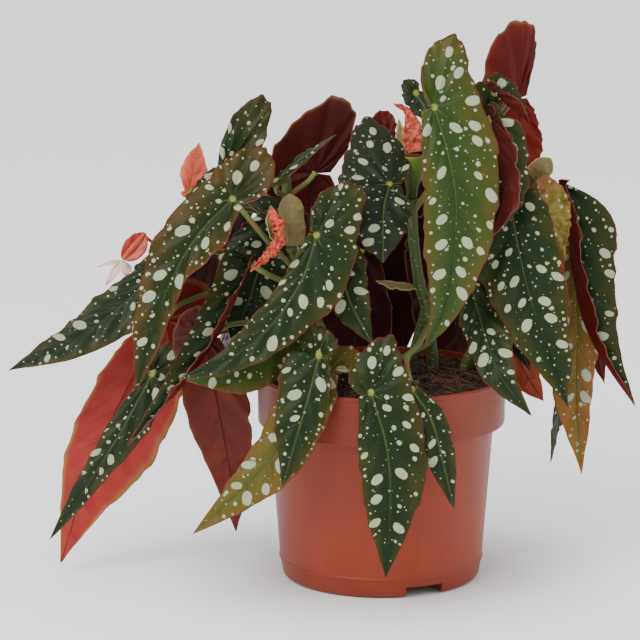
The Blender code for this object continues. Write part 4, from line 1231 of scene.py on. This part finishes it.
# %% Spot patterns
def spot_layer(finish, leaf_map, cell, shake, radius_rule, stretch):
    """Oval spots, 0 to 1, and the free distance to the nearest one, in centimetres.

    radius_rule gives a spot's radius from its lottery numbers and its share of the way out."""
    flat, share, way_x, way_y, reach = leaf_map
    x, y = finish.parts(flat)
    warp = finish.cloud(flat, 5.0, 2.0)
    lottery, other, centre = finish.cell_facts(finish.cells(flat, 1 / cell, shake))
    border = finish.cells(flat, 1 / cell, shake, "DISTANCE_TO_EDGE")
    centre_x, centre_y = finish.parts(centre)
    off_x, off_y = x - centre_x, y - centre_y
    along = (off_x * way_x + off_y * way_y) / reach
    across = (off_x * way_y - off_y * way_x) / reach
    centre_share = share - along / reach
    radius = radius_rule(lottery, other, centre_share)
    radius = radius.least((1 - centre_share) * reach * 0.75 - 0.03)
    radius = radius.least(centre_x.size() * 0.8 - 0.04 + centre_share.rise(0.3, 0.1))
    free = ((along / stretch) ** 2.0 + across * across) ** 0.5 + (warp - 0.5) * 0.09 - radius
    return free.rise(0.012, -0.012) * radius.rise(0.008, 0.016) * border.rise(0.02, 0.05), free


def big_rule(lottery, other, out):
    return (0.13 + lottery * 0.11) * other.rise(0.17, 0.19) * out.rise(0.08, 0.34)


def middling_rule(lottery, other, out):
    return (0.035 + lottery * 0.075) * other.rise(0.46, 0.48) * out.rise(0.06, 0.2)


def fleck_rule(lottery, other, out):
    return (0.019 + lottery * lottery * 0.032 + out.rise(0.6, 0.9) * lottery * 0.045) * other.rise(0.38, 0.4)


# size of a cell in centimetres, how far its centre strays, rule of the radius, stretch
SPOT_SIZES = ((1.1, 0.62, big_rule, 1.5), (0.72, 0.9, middling_rule, 1.2), (0.37, 1.0, fleck_rule, 1.0))
print(len(SPOT_SIZES), "sizes of spots")

# %% [markdown]
# Under the spots the green is not even.  It is darkest along the midrib and turns to olive and
# gold towards the margin, most of all on the olive and gold leaves.  The midrib is a fine pale line
# that starts in a yellow-green star at the stalk, and the side veins are faint grooves, painted
# darker as shade.

# %% Upper finish
SPOT = tint(160, 166, 138)
SPOT_MESH = tint(120, 132, 102)
SHADOW_GREEN = tint(16, 26, 12)
GROOVE_SHADE = tint(20, 32, 16)
MARGIN = tint(112, 44, 32)
STAR = tint(138, 150, 56)
RIB = tint(110, 130, 70)


def leaf_facts(finish):
    """The flat map with its x and y, the share of the way out and the distance to a side vein."""
    flat = finish.map("flat")
    x, y = finish.parts(flat)
    vein, share = finish.parts(finish.map("vein"))
    return flat, x, y - (y / SHEET_SHIFT).nearest() * SHEET_SHIFT, share, (vein - vein.nearest()).size()


def upper_finish(name, heart, field, edge, spot_share):
    """The painted upper side, from the colours beside the midrib, of the field and of the edge."""
    finish = Finish(name, Specular_IOR_Level=0.17)
    flat, x, y, share, line = leaf_facts(finish)
    way_x, way_y = finish.parts(finish.map("way"))
    reach = (way_x * way_x + way_y * way_y) ** 0.5
    cloud = finish.cloud(flat, 0.8, 3.0, 0.55)
    fine = finish.cloud(flat, 14.0, 3.0, 0.6)
    groove = line.rise(0.05, 0.0) * share.rise(0.9, 0.2)
    rib = x.size().rise(0.06, 0.02) * y.rise(-0.1, 0.1) * y.rise(9.0, 1.0)
    leaf_map = (flat, share, way_x, way_y, reach)
    (big, free), (middling, _), (flecks, _) = (spot_layer(finish, leaf_map, *size) for size in SPOT_SIZES)
    star_reach = (x * x + y * y) ** 0.5
    spots = big.most(middling.most(flecks) * free.rise(0.05, 0.09)) * star_reach.rise(0.35, 0.45) * spot_share
    mesh_lines = finish.cells(flat, 9.0, 1.0, "DISTANCE_TO_EDGE")
    silver = finish.mix(mesh_lines.rise(0.1, 0.0) * 0.4, SPOT, SPOT_MESH)
    star = star_reach.rise(0.21, 0.07).most(star_reach.rise(0.8, 0.15) * line.rise(0.07, 0.02) * 0.3)
    skin = finish.layers(
        heart,
        ((share + cloud * 0.6 - 0.3).rise(0.05, 0.6), field),
        ((share + cloud * 1.4 - 0.7).rise(0.45, 1.05), edge),
        (fine.rise(0.35, 0.75) * 0.2, SHADOW_GREEN),
        # painted shade: the side vein grooves are darker
        (groove * 0.25, GROOVE_SHADE),
        (rib * 0.4, RIB),
        (spots, silver),
        (star * 0.85, STAR),
        (share.rise(0.972, 0.988) * 0.8, MARGIN))
    finish.dress(skin, 0.38 + fine * 0.1 + spots * 0.12, spots * 0.5 + fine * 0.35 - groove * 1.4, 0.45)
    return finish.material


print("an upper finish takes a name, three colours and a share of spots")

# %% [markdown]
# Some leaves are olive and gold, shaded ones are painted dark as painted shade, old ones go brown.
# So one recipe is mixed in ten tones.  Only the newest leaf has no spots yet.

# %% Tones of the upper side
UPPER_TONES = {  # beside the midrib, the field, the edge
    "green": ((18, 34, 8), (24, 40, 9), (50, 50, 10)),
    # painted shade: the green of a leaf in shade
    "dark": ((20, 32, 15), (25, 37, 18), (36, 40, 18)),
    # painted shade: the olive of a leaf in shade
    "dusk": ((22, 34, 15), (31, 42, 20), (58, 54, 24)),
    "olive": ((38, 58, 18), (52, 68, 19), (76, 68, 20)),
    "gold": ((22, 37, 4), (42, 43, 4), (72, 54, 5)),
    "amber": ((80, 80, 24), (92, 84, 24), (100, 76, 26)),
    "brown": ((106, 86, 32), (124, 86, 34), (132, 84, 34)),
    "red": ((30, 44, 20), (36, 50, 22), (60, 56, 20)),
    "dry": ((92, 34, 14), (104, 36, 16), (64, 20, 12)),
    "coral": ((200, 80, 58), (204, 86, 62), (216, 116, 92)),
}
upper = {}
for tone, colours in UPPER_TONES.items():
    heart, field, edge = (tint(*colour) for colour in colours)
    upper[tone] = upper_finish(f"spotted {tone} leaf", heart, field, edge, 0.0 if tone == "coral" else 1.0)
print(len(upper), "upper finishes")

# %% [markdown]
# ## The underside and the stalk
#
# Below, the leaf is wine red, with the veins standing out as darker ribs and a brownish hem along
# the margin.  It has the same maps as the upper side, so its veins lie under the grooves above.

# %% Underside finish
def under_finish(name, field, vein_and_shade_colour, edge, hem_start, hem):
    """The underside, from the colours of the field, the veins and the edge; the veins' colour
    also gives the painted shade near the stalk.

    hem_start is the share of the way out where the margin's own colour, the hem, begins."""
    finish = Finish(name, Specular_IOR_Level=0.2)
    flat, _, y, share, line = leaf_facts(finish)
    cloud = finish.cloud(flat, 0.6, 3.0, 0.55)
    fine = finish.cloud(flat, 12.0, 3.0, 0.6)
    thick = line.rise(0.09, 0.0) * share.rise(0.9, 0.1)
    rib = share.rise(0.07, 0.02) * y.rise(-0.1, 0.1)
    red = finish.layers(
        field,
        (cloud.rise(0.3, 0.75) * 0.6, edge),
        (fine.rise(0.4, 0.8) * 0.25, vein_and_shade_colour),
        # painted shade: darker towards the stalk and in the lobe
        (y.rise(1.6, -0.8) * 0.6, vein_and_shade_colour),
        ((thick * 0.6).most(rib) * 0.5, vein_and_shade_colour),
        (share.rise(0.8, 1.0) * cloud.rise(0.35, 0.6) * 0.6, edge),
        (share.rise(hem_start, 1.0) * cloud.rise(0.2, 0.5) * 0.75, hem))
    finish.dress(red, 0.4 + fine * 0.15, thick.most(rib) * 1.2 + fine * 0.4, 0.5, 0.0005)
    return finish.material


print("an underside finish takes a name, three colours and a hem")

# %% [markdown]
# Most undersides are wine red.  The leaves at the back get a near black copy, painted shade for the
# dark inside of the plant, and one leaf a bright copy, painted light where light falls on it; ruby,
# scarlet and russet differ partly in their own red and partly as painted light and shade.  The
# margin and the stalk get plainer finishes of their own; the stalk is green with a patchy red
# flush, and pale where it meets the leaf.

# %% Tones of the underside, margin and stalk
# the veins' colour also gives the painted shade near the stalk
UNDER_TONES = {  # the field, the veins, the edge
    "wine": ((76, 15, 11), (44, 8, 7), (96, 26, 18)),
    # painted light: the red of a leaf lit from the front
    "lit_bright": ((150, 42, 37), (100, 22, 20), (166, 66, 52)),
    # painted shade: near black red for the leaves inside the back of the plant
    "shaded_deep": ((44, 9, 8), (24, 5, 5), (64, 17, 13)),
    # ruby, scarlet and russet: partly their own red, partly painted light and shade
    "ruby": ((80, 14, 8), (44, 7, 5), (92, 24, 12)),
    "scarlet": ((106, 24, 16), (60, 11, 8), (120, 36, 22)),
    "russet": ((82, 20, 13), (48, 9, 7), (104, 34, 20)),
    "rust": ((122, 42, 22), (72, 20, 12), (140, 62, 30)),
    "coral": ((206, 92, 70), (178, 62, 46), (220, 124, 100)),
}
HEM = (0.95, tint(110, 84, 44))
HEM_OF = {"lit_bright": (0.84, tint(150, 112, 62))}
under = {}
for tone, colours in UNDER_TONES.items():
    field, veins, edge = (tint(*colour) for colour in colours)
    under[tone] = under_finish(f"{tone} underside", field, veins, edge, *HEM_OF.get(tone, HEM))

rim = Finish("leaf margin", Roughness=0.5)
rim.dress(rim.mix(rim.cloud(rim.map("flat"), 2.0, 2.0).rise(0.35, 0.65), tint(84, 34, 24), tint(128, 50, 36)))

stalk_skin = Finish("leaf stalk")
around, along = stalk_skin.parts(stalk_skin.map("flat"))
flush = stalk_skin.cloud(stalk_skin.point(around, along * 0.4), 2.4)
skin = stalk_skin.layers(tint(82, 102, 36), (flush.rise(0.4, 0.7), tint(114, 76, 40)),
                         (along.rise(1.2, 0.2) * 0.6, tint(150, 150, 74)))
stalk_skin.dress(skin, 0.38 + flush * 0.15, flush, 0.3, 0.0005)
print(len(under), "underside finishes")

# %% [markdown]
# ## Growing the leaves
#
# Each blade is thickened to half a millimetre by a Solidify modifier, which also gives the
# underside and the margin their own finishes.  The stalk runs from the star down to its cane,
# where it widens into a short foot.

# %% Stalk and thickness
STALK_RADIUS = 1.6


def cane_point(cane, height):
    """The middle of a cane at a height, found by halving the part of it that the height is in."""
    points = [Vector(p) for p in CANES[cane]]
    low, high = 0.0, float(len(points) - 1)
    for _ in range(30):
        middle = (low + high) / 2
        if smooth_point(points, middle).z < height:
            low = middle
        else:
            high = middle
    return smooth_point(points, low)


def stalk_radius(share):
    return STALK_RADIUS * (0.8 + 0.25 * share**4 + 0.3 * math.exp(-(share / 0.05) ** 2))


def thicken(piece, thickness, offset=0.0, back=0, edge=0):
    """Give a sheet a thickness in millimetres; back and edge are the numbers of their finishes."""
    solid = piece.modifiers.new("thickness", "SOLIDIFY")
    solid.thickness = thickness * MM
    solid.offset = offset
    solid.material_offset = back
    solid.material_offset_rim = edge
    settle(piece)
    piece.data.shade_smooth()


def join(first, second, finish_shift=0):
    """Pour a second shape into the first, with its finish numbers moved up."""
    for face in second.faces:
        face.material_index += finish_shift
    mesh = mesh_of("join", second)
    first.from_mesh(mesh)
    bpy.data.meshes.remove(mesh)


print("stalk is", round(2 * stalk_radius(0.5), 1), "mm thick halfway")

# %% [markdown]
# Now every leaf grows: sheet, thickness, stalk.  Most take their tone from their measures; the
# tables name those whose upper side or underside is another tone, and those that turn their red
# side to the front.

# %% Grow every leaf
# painted shade: these two olive leaves hang in shade and take the dull tone
UPPER_OF = {"leaf_reaching_left": "dusk", "leaf_olive_left": "dusk"}
# the bright underside is painted light; ruby, scarlet and russet are partly painted light and shade
UNDER_OF = {"leaf_hanging_red_left": "lit_bright", "leaf_red_back_left": "ruby", "leaf_red_tip_back": "scarlet",
            "leaf_top_red": "scarlet", "leaf_hanging_red_middle": "russet", "leaf_dry_curled": "rust",
            "young_leaf_salmon": "coral"}
RED_FRONTS = ("leaf_purple_tip_right", "leaf_dry_curled")


def grow_leaf(name, leaf, number, ripple=1.0):
    sheet, blade = blade_shape(leaf, number, ripple)
    above = upper[UPPER_OF.get(name, leaf.tone)]
    # painted shade: the leaves at the back get the near black underside
    below = under[UNDER_OF.get(name, "shaded_deep" if name.startswith("leaf_back") else "wine")]
    piece = add_piece("grown_" + name, mesh_of(name, sheet), above, below, rim.material, stalk_skin.material)
    thicken(piece, BLADE_THICKNESS, -1.0, back=1, edge=2)
    cane, height, *way = leaf.stalk
    point, _, normal, _ = blade.frame(0.0)
    path = [point - normal * BLADE_THICKNESS * 0.6, *way, cane_point(cane, height)]
    stalk = new_shape("flat")
    tube(stalk, path, stalk_radius, steps=26, sides=10)
    whole = bmesh.new()
    whole.from_mesh(piece.data)
    join(whole, stalk, 3)
    whole.to_mesh(piece.data)
    whole.free()
    piece.data.shade_smooth()
    return piece


for number, (name, leaf) in enumerate(LEAVES.items(), 1):
    red = "red" in name or name in RED_FRONTS
    hand_over(grow_leaf(name, leaf, number), "leaf_red" if red else "leaf_green", name)

# %% [markdown]
# ## Stipules and young leaves
#
# Every new begonia leaf is wrapped in a pair of papery stipules.  When it comes out it is pink,
# crumpled and frilled at the margin, because the margin is already full length while the blade
# isn't.  A plain tapered sheet does for both; the young leaves get a tall, short-waved ruffle.

# %% Measures of the small blades
@dataclass
class Scale:
    """A small blade without a lobe: a stipule or a young leaf.

    midrib: from its base to its tip.  half: widest half-width.  base: half-width at the base
    as a share of that.  curl: turn from the middle line to each margin, degrees.
    blunt: 2 for a round tip, more for a flat one.  tail: where a thin strand starts, as a
    share of the length.
    frill: height of the ruffles at the margin, and waves: how many along it.
    """
    midrib: tuple
    face: tuple
    half: float
    base: float
    curl: float
    tone: str
    blunt: float = 2.0
    tail: float = 1.0
    frill: float = 0.3
    waves: float = 5.0


SCALES = {
    "bract_centre": Scale(
        [(9.0, 5.2, 198), (8.4, 9.5, 209), (8, 10, 220)], (0.8, -1, 0), 4.5, 0.6, 50, "cream"),
    "young_leaf_centre": Scale(
        [(15.2, 1.2, 205.2), (14.2, 0, 211.5), (13.9, -2, 219), (11.5, -2, 225.5), (5, -2, 229)],
        (0, -1, 0.3), 4.6, 0.8, 20, "coral", tail=0.8, frill=1.5, waves=6.0),
    "stipule_centre": Scale(
        [(15.4, -0.8, 140), (7, -6, 141), (-3, -9, 145)], (0, -0.6, 1), 3.5, 0.6, 60, "papery"),
    "stipule_left": Scale(
        [(-42, -25.5, 164.7), (-43, -28, 178), (-43.8, -27, 190)],
        (0.1, 1, 0), 7, 0.7, 60, "papery", blunt=5),
    "young_sheath_left": Scale(
        [(-46.5, -29.5, 166.5), (-51, -35.5, 176), (-52.5, -36, 186)], (0, -1, 0), 4.5, 0.5, 80, "papery"),
    "young_leaf_left": Scale(
        [(-52.4, -37.5, 184), (-49, -40.5, 178), (-48.5, -42.5, 171), (-52, -44, 165), (-57, -45, 160.8),
         (-62, -45, 156)], (0, -1, 0.2), 3.1, 0.5, 30, "coral", frill=2.2, waves=15.0),
    "hood_right": Scale(
        [(69.5, 5.2, 182.9), (74.5, 1, 195), (80, 0, 202.5)],
        (-0.6, -1, -0.4), 7.5, 0.7, 70, "papery", blunt=4),
    "young_leaf_right": Scale(
        [(75, -4, 194), (81.5, -8, 183), (84, -10, 167), (83.8, -12, 154.5), (85.6, -12, 143.5),
         (89, -12, 133.5)], (-0.1, -1, 0), 6.8, 0.4, 20, "lime", tail=0.62, frill=1.0, waves=20.0),
}
print(len(SCALES), "small blades")

# %% [markdown]
# ### A small blade as a sheet
#
# The sheet is laid along its midrib by the same class as a leaf, with both halves equal.  Noise
# makes the ruffles, which grow towards the margin, and crimps them into short waves.

# %% A small blade as a sheet
STRAND_HALF = 6.5
LENGTHWAYS = 120
CROSSWAYS = 16
SCALE_THICKNESS = 0.45


def scale_half(u, scale):
    """Half-width of a scale as a share of its widest, at a share u of its length."""
    widest = 0.35 * scale.tail
    if u < widest:
        return scale.base + (1 - scale.base) * math.sin(math.pi / 2 * u / widest)
    full = 1 - min(1.0, (u - widest) / (scale.tail - widest)) ** scale.blunt
    strand = STRAND_HALF * (1 - u) / scale.half if scale.tail < 1 else 0.0
    return max(full, strand)


def noise_at(x, y, z):
    """Smooth noise between -1 and 1."""
    return noise.noise(Vector((x, y, z)))


def scale_sheet(scale, number):
    """The small blade as a sheet, with the maps flat and vein (share along, share out)."""
    blade = Blade(Leaf(scale.midrib, scale.face, scale.half, scale.half, 1.0, 1, fold=(0, 0),
                       curl=(scale.curl, scale.curl)))
    shape = new_shape("flat", "vein")
    rows = []
    for step in range(LENGTHWAYS + 1):
        u = step / LENGTHWAYS
        along, turn = u * blade.length, scale.waves * u
        open_end = min(1.0, 6 * u, 8 * (1 - u))
        row = []
        for k in range(CROSSWAYS + 1):
            side = 2 * k / CROSSWAYS - 1
            ruffle = (2.4 * noise_at(turn, side * 0.9 + 7.0, number * 3.7)
                      + 1.4 * noise_at(turn * 2.6, side * 2.0, number * 5.1))
            crimp = math.sin(math.tau * turn * 0.8 + 3.0 * noise_at(turn * 0.5, side, number))
            out = side * scale.half * scale_half(u, scale)
            out *= 1 + 0.10 * scale.frill * (crimp + ruffle) * open_end
            lift = scale.frill * (ruffle * (0.25 + abs(side)) + 0.7 * crimp * side**2) * open_end
            row.append((shape.verts.new(blade.surface(along, out or 0.001, lift) * MM),
                        (out / 10, along / 10 + number * SHEET_SHIFT), (u, abs(side))))
        rows.append(row)
    weave(shape, rows)
    face_towards(shape, blade.frame(0.5 * blade.length)[2])
    return shape


print("a small blade has", LENGTHWAYS * CROSSWAYS, "quads")

# %% [markdown]
# Stipules are cream to olive, finely lined from base to tip, and go brown where they dry.  The
# lines are clouds squeezed sideways.

# %% Papery finishes
def lined(name):
    """A papery finish, with its flat map, the fine lines in it and the share of the way out."""
    finish = Finish(name)
    flat = finish.map("flat")
    x, y = finish.parts(flat)
    lines = finish.cloud(finish.point(x * 14.0, y * 1.2), 2.0)
    return finish, flat, lines, finish.parts(finish.map("vein"))[1]


papery, flat, lines, share = lined("papery stipule")
skin = papery.layers(
    tint(112, 112, 56),
    (papery.cloud(flat, 1.1).rise(0.35, 0.65), tint(126, 96, 52)),
    (lines.rise(0.35, 0.7) * 0.4, tint(150, 142, 88)),
    (share.rise(0.88, 1.0) * 0.8, tint(176, 162, 104)))
papery.dress(skin, 0.42 + lines * 0.2, lines, 0.4)

cream, _, lines, share = lined("cream stipule")
skin = cream.layers(
    tint(140, 132, 78),
    (share.rise(0.3, 0.9), tint(190, 178, 124)),
    (lines.rise(0.35, 0.7) * 0.4, tint(200, 190, 146)))
cream.dress(skin, 0.42 + lines * 0.2, lines, 0.4)
print("papery finishes:", papery.material.name, "and", cream.material.name)

# %% [markdown]
# Young leaves are coral and crumpled, with pale flecks where the spots will be.  The yellow one
# has already begun to show its spots; its stalk end is brown and its tail red.

# %% Finishes of the young leaves
frill = Finish("coral young leaf")
flat = frill.map("flat")
share = frill.parts(frill.map("vein"))[1]
crumple = frill.cloud(flat, 6.0, 4.0, 0.6)
fleck = frill.cells(flat, 5.5)
skin = frill.layers(
    tint(190, 62, 46),
    (crumple.rise(0.35, 0.68), tint(212, 112, 82)),
    (fleck.rise(0.22, 0.12) * crumple.rise(0.5, 0.6) * 0.6, tint(224, 168, 140)),
    (share.rise(0.8, 1.0) * 0.7, tint(198, 56, 46)))
frill.dress(skin, 0.4 + crumple * 0.2, crumple, 0.8, 0.0008)

lime = Finish("yellow young leaf")
flat = lime.map("flat")
along, share = lime.parts(lime.map("vein"))
crumple = lime.cloud(flat, 4.0, 4.0, 0.6)
dots = lime.cells(flat, 2.0, 0.9)
lottery, other, _ = lime.cell_facts(dots)
dot = (dots - 0.08 - lottery * 0.14).rise(0.02, -0.02) * other.rise(0.3, 0.35) * along.rise(0.7, 0.6)
yellow = lime.mix(crumple.rise(0.3, 0.7), tint(112, 100, 28), tint(146, 128, 44))
skin = lime.layers(
    tint(150, 92, 48),
    (along.rise(0.02, 0.2), yellow),
    (along.rise(0.62, 0.75), tint(186, 56, 44)),
    (dot, tint(188, 186, 150)),
    (share.rise(0.93, 0.98), tint(150, 52, 36)))
lime.dress(skin, 0.4 + crumple * 0.2, crumple, 0.7, 0.0008)
print("young finishes:", frill.material.name, "and", lime.material.name)

# %% [markdown]
# All small blades are made by the same steps: sheet, finish, thickness.

# %% Set the small blades
SCALE_FINISH = {"papery": (papery.material, "papery_scale"), "cream": (cream.material, "papery_scale"),
                "coral": (frill.material, "young_leaf"), "lime": (lime.material, "young_leaf")}
for number, (name, scale) in enumerate(SCALES.items(), 1):
    finish, slot_name = SCALE_FINISH[scale.tone]
    piece = shell("sheet_" + name, scale_sheet(scale, number), finish)
    thicken(piece, SCALE_THICKNESS)
    hand_over(piece, slot_name, name)
print(len(SCALES), "small blades stand in their places")

# %% [markdown]
# A small salmon leaf stands upright at the left.  It is the same kind of blade as the big ones,
# only unspotted and nearly flat.

# %% The salmon leaf
SALMON_LEAF = Leaf([(-92, 16, 184), (-90, 14, 195), (-87, 12, 208)], (0, -1, 0.1), 8, 6, 4, -1,
                   ("cane_back_left", 168, (-80, 24, 178), (-62, 32, 172)), tone="coral")
SALMON_NUMBER = 60
SALMON_RIPPLE = 0.5
salmon = grow_leaf("young_leaf_salmon", SALMON_LEAF, SALMON_NUMBER, SALMON_RIPPLE)
hand_over(salmon, "young_leaf", "young_leaf_salmon")
print("salmon leaf has", len(salmon.data.polygons), "faces")

# %% [markdown]
# ## The swollen sheath
#
# On top of the middle cane the youngest leaf still sits in its sheath: a green cup that swells
# upwards and is open at the top.  A tube that turns back on itself at the rim gives the cup.

# %% Sheath
BUD_PATH = [(14, 0, 183.8), (14.5, 1, 193), (14.5, 1.5, 203.5)]
BUD_PROFILE = [(0.0, 2.7), (0.12, 2.6), (0.3, 3.2), (0.5, 4.3), (0.7, 5.3), (0.88, 5.5), (0.98, 5.2),
               (1.0, 5.0), (0.985, 4.7), (0.85, 4.5), (0.7, 4.0), (0.66, 0.0)]
BUD_SIDES = 28
RINGS_PER_POINT = 4
THINNEST = 0.02


def cup(points, profile):
    """A closed wall round a path; profile pairs are (share of the path, radius)."""
    shape = new_shape("flat")
    points = [Vector(p) for p in points]
    rings = []
    for share, radius in smooth_path(profile, RINGS_PER_POINT * (len(profile) - 1)):
        centre = smooth_point(points, min(1.0, max(0.0, share)) * (len(points) - 1))
        rings.append(lay_ring(shape, centre, EAST, NORTH, max(THINNEST, radius), BUD_SIDES, 3.0, share * 2.6))
    weave(shape, rings)
    close_ends(shape, rings)
    return shape


sheath_skin = Finish("green sheath skin", Specular_IOR_Level=0.25)
x, y = sheath_skin.parts(sheath_skin.map("flat"))
streak = sheath_skin.cloud(sheath_skin.point(x * 6.0, y * 0.7), 2.0)
skin = sheath_skin.layers(
    tint(44, 66, 12),
    (y.rise(0.2, 2.2), tint(80, 98, 24)),
    (streak.rise(0.4, 0.7) * 0.3, tint(106, 116, 42)),
    (y.rise(2.45, 2.6) * 0.6, tint(150, 110, 60)))
sheath_skin.dress(skin, 0.36 + streak * 0.15, streak)
bud = shell("sheath_bud_centre", cup(BUD_PATH, BUD_PROFILE), sheath_skin.material)
hand_over(bud, "cane", "bud_centre")
print("sheath has", len(bud.data.polygons), "faces")

# %% [markdown]
# ## The flower
#
# A female begonia flower hangs on a long coral stalk.  Its ovary carries three thin wings, and
# below it a few pale tepals open, cream at the base and coral at the tip.
#
# A wing is a thin plate of two woven sides that nearly meet at its rim, and a band of quads closes
# the rim between them.

# %% A wing of the ovary
OVARY_TOP = Vector((-113.6, 6, 165))
OVARY_BOTTOM = Vector((-123.8, 2, 153.5))
OVARY_AXIS = (OVARY_BOTTOM - OVARY_TOP).normalized()
WING_REACH = 6.5
WING_STEPS = 26
WING_ACROSS = 6
WING_HALF = 0.22
WING_WAVE = 0.25


def ovary_wing(shape, outwards):
    """A thin plate, broad at its shoulder, with a slightly wavy rim."""
    sideways = OVARY_AXIS.cross(outwards)
    borders = []
    for face_side in (1, -1):
        grid = []
        for index in range(WING_STEPS + 1):
            share = index / WING_STEPS
            spine = OVARY_TOP.lerp(OVARY_BOTTOM, 0.02 + 0.96 * share)
            reach = WING_REACH * (math.sin(math.pi * min(1.0, share * 0.96 + 0.02)) ** 0.45)
            row = []
            for k in range(WING_ACROSS + 1):
                out = reach * k / WING_ACROSS
                wave = WING_WAVE * math.sin(share * 14 + out) * (k / WING_ACROSS)
                half = WING_HALF * (0.1 if k == WING_ACROSS or index in (0, WING_STEPS) else 1.0)
                point = spine + outwards * out + sideways * (wave + face_side * half)
                row.append((shape.verts.new(point * MM), (out / 10, share * 1.5)))
            grid.append(row)
        weave(shape, grid[::-face_side])
        border = [row[-1] for row in grid] + grid[-1][-2::-1] + [row[0] for row in grid[-2::-1]] + grid[0][1:]
        borders.append([(vert,) for vert, _ in border])
    weave(shape, borders)


print("a wing has", 2 * WING_STEPS * WING_ACROSS, "quads on its sides")

# %% [markdown]
# The stalk leaves the left back cane and bends up, then down into the ovary.  The three wings
# stand round the ovary's own slanting axis.

# %% Flower stalk and winged ovary
FLOWER_ROOT = 151.0
FLOWER_STALK = [(-60, 37, 152), (-86, 31, 152), (-104, 21, 155), (-112, 14, 161), (-113.6, 6, 165)]
WINGS = 3
WING_TURN = 0.1
coral = Finish("coral flower skin")
flat = coral.map("flat")
x, y = coral.parts(flat)
wash = coral.cloud(flat, 3.0)
streak = coral.cloud(coral.point(x * 2.0, y * 9.0), 1.6, 2.0)
skin = coral.layers(tint(190, 68, 50), (wash.rise(0.35, 0.7), tint(206, 92, 70)),
                    (streak.rise(0.5, 0.75) * 0.3, tint(160, 44, 34)))
coral.dress(skin, 0.4 + wash * 0.15, streak)

flower = new_shape("flat")
root = cane_point("cane_back_left", FLOWER_ROOT)
tube(flower, [root, *FLOWER_STALK], lambda share: 0.95 - 0.15 * share, steps=40, sides=10)
tube(flower, [OVARY_TOP - OVARY_AXIS * 0.6, (OVARY_TOP + OVARY_BOTTOM) / 2, OVARY_BOTTOM],
     lambda share: 1.2 + 1.0 * math.sin(math.pi * share), steps=14, sides=12)
first_way = (EAST - OVARY_AXIS * OVARY_AXIS.x).normalized()
second_way = OVARY_AXIS.cross(first_way)
for number in range(WINGS):
    turn = math.tau * number / WINGS + WING_TURN
    ovary_wing(flower, first_way * math.cos(turn) + second_way * math.sin(turn))
hand_over(shell("flower_stalk_and_ovary", flower, coral.material), "flower_stalk", "flower_ovary")
print("ovary with", WINGS, "wings")

# %% [markdown]
# ### Tepals
#
# A begonia's tepals are thin and softly cupped, with a round tip.  They are the same small blade
# as a stipule, broader and nearly unruffled.  All four spread from the bottom of the ovary and
# are poured into one shape, because they belong to one flower.

# %% Tepals
TEPALS = [((-11.3, -1.0, -3.3), 3.4), ((-7.4, -4.0, -11.4), 3.6), ((3.0, -7.0, -7.0), 3.0),
          ((4.0, 6.0, -7.0), 3.0)]  # from the ovary to the tip, and half the width
TEPAL_SAG = 1.2
FIRST_TEPAL_NUMBER = 80
pale = Finish("pale tepal")
along, _ = pale.parts(pale.map("vein"))
x, y = pale.parts(pale.map("flat"))
lines = pale.cloud(pale.point(x * 16.0, y), 1.5, 2.0)
skin = pale.layers(
    tint(226, 206, 168),
    (along.rise(0.05, 0.5), tint(232, 196, 184)),
    (along.rise(0.7, 1.0), tint(206, 112, 104)),
    (lines.rise(0.45, 0.7) * 0.3, tint(214, 160, 148)))
pale.dress(skin, 0.45 + lines * 0.1)

tepals = bmesh.new()
start = OVARY_BOTTOM + OVARY_AXIS * 0.6
for number, (tip, half) in enumerate(TEPALS, FIRST_TEPAL_NUMBER):
    tip = Vector(tip)
    midrib = [start + tip * 0.06, start + tip * 0.5 + UP * TEPAL_SAG, start + tip]
    facing = tip.cross(tip.cross(UP))
    join(tepals, scale_sheet(Scale(midrib, facing, half, 0.3, 35, "petal", frill=0.15, waves=3.0), number))
piece = shell("flower_tepals", tepals, pale.material)
thicken(piece, SCALE_THICKNESS)
hand_over(piece, "petal", "flower_petals")
print(len(TEPALS), "tepals")
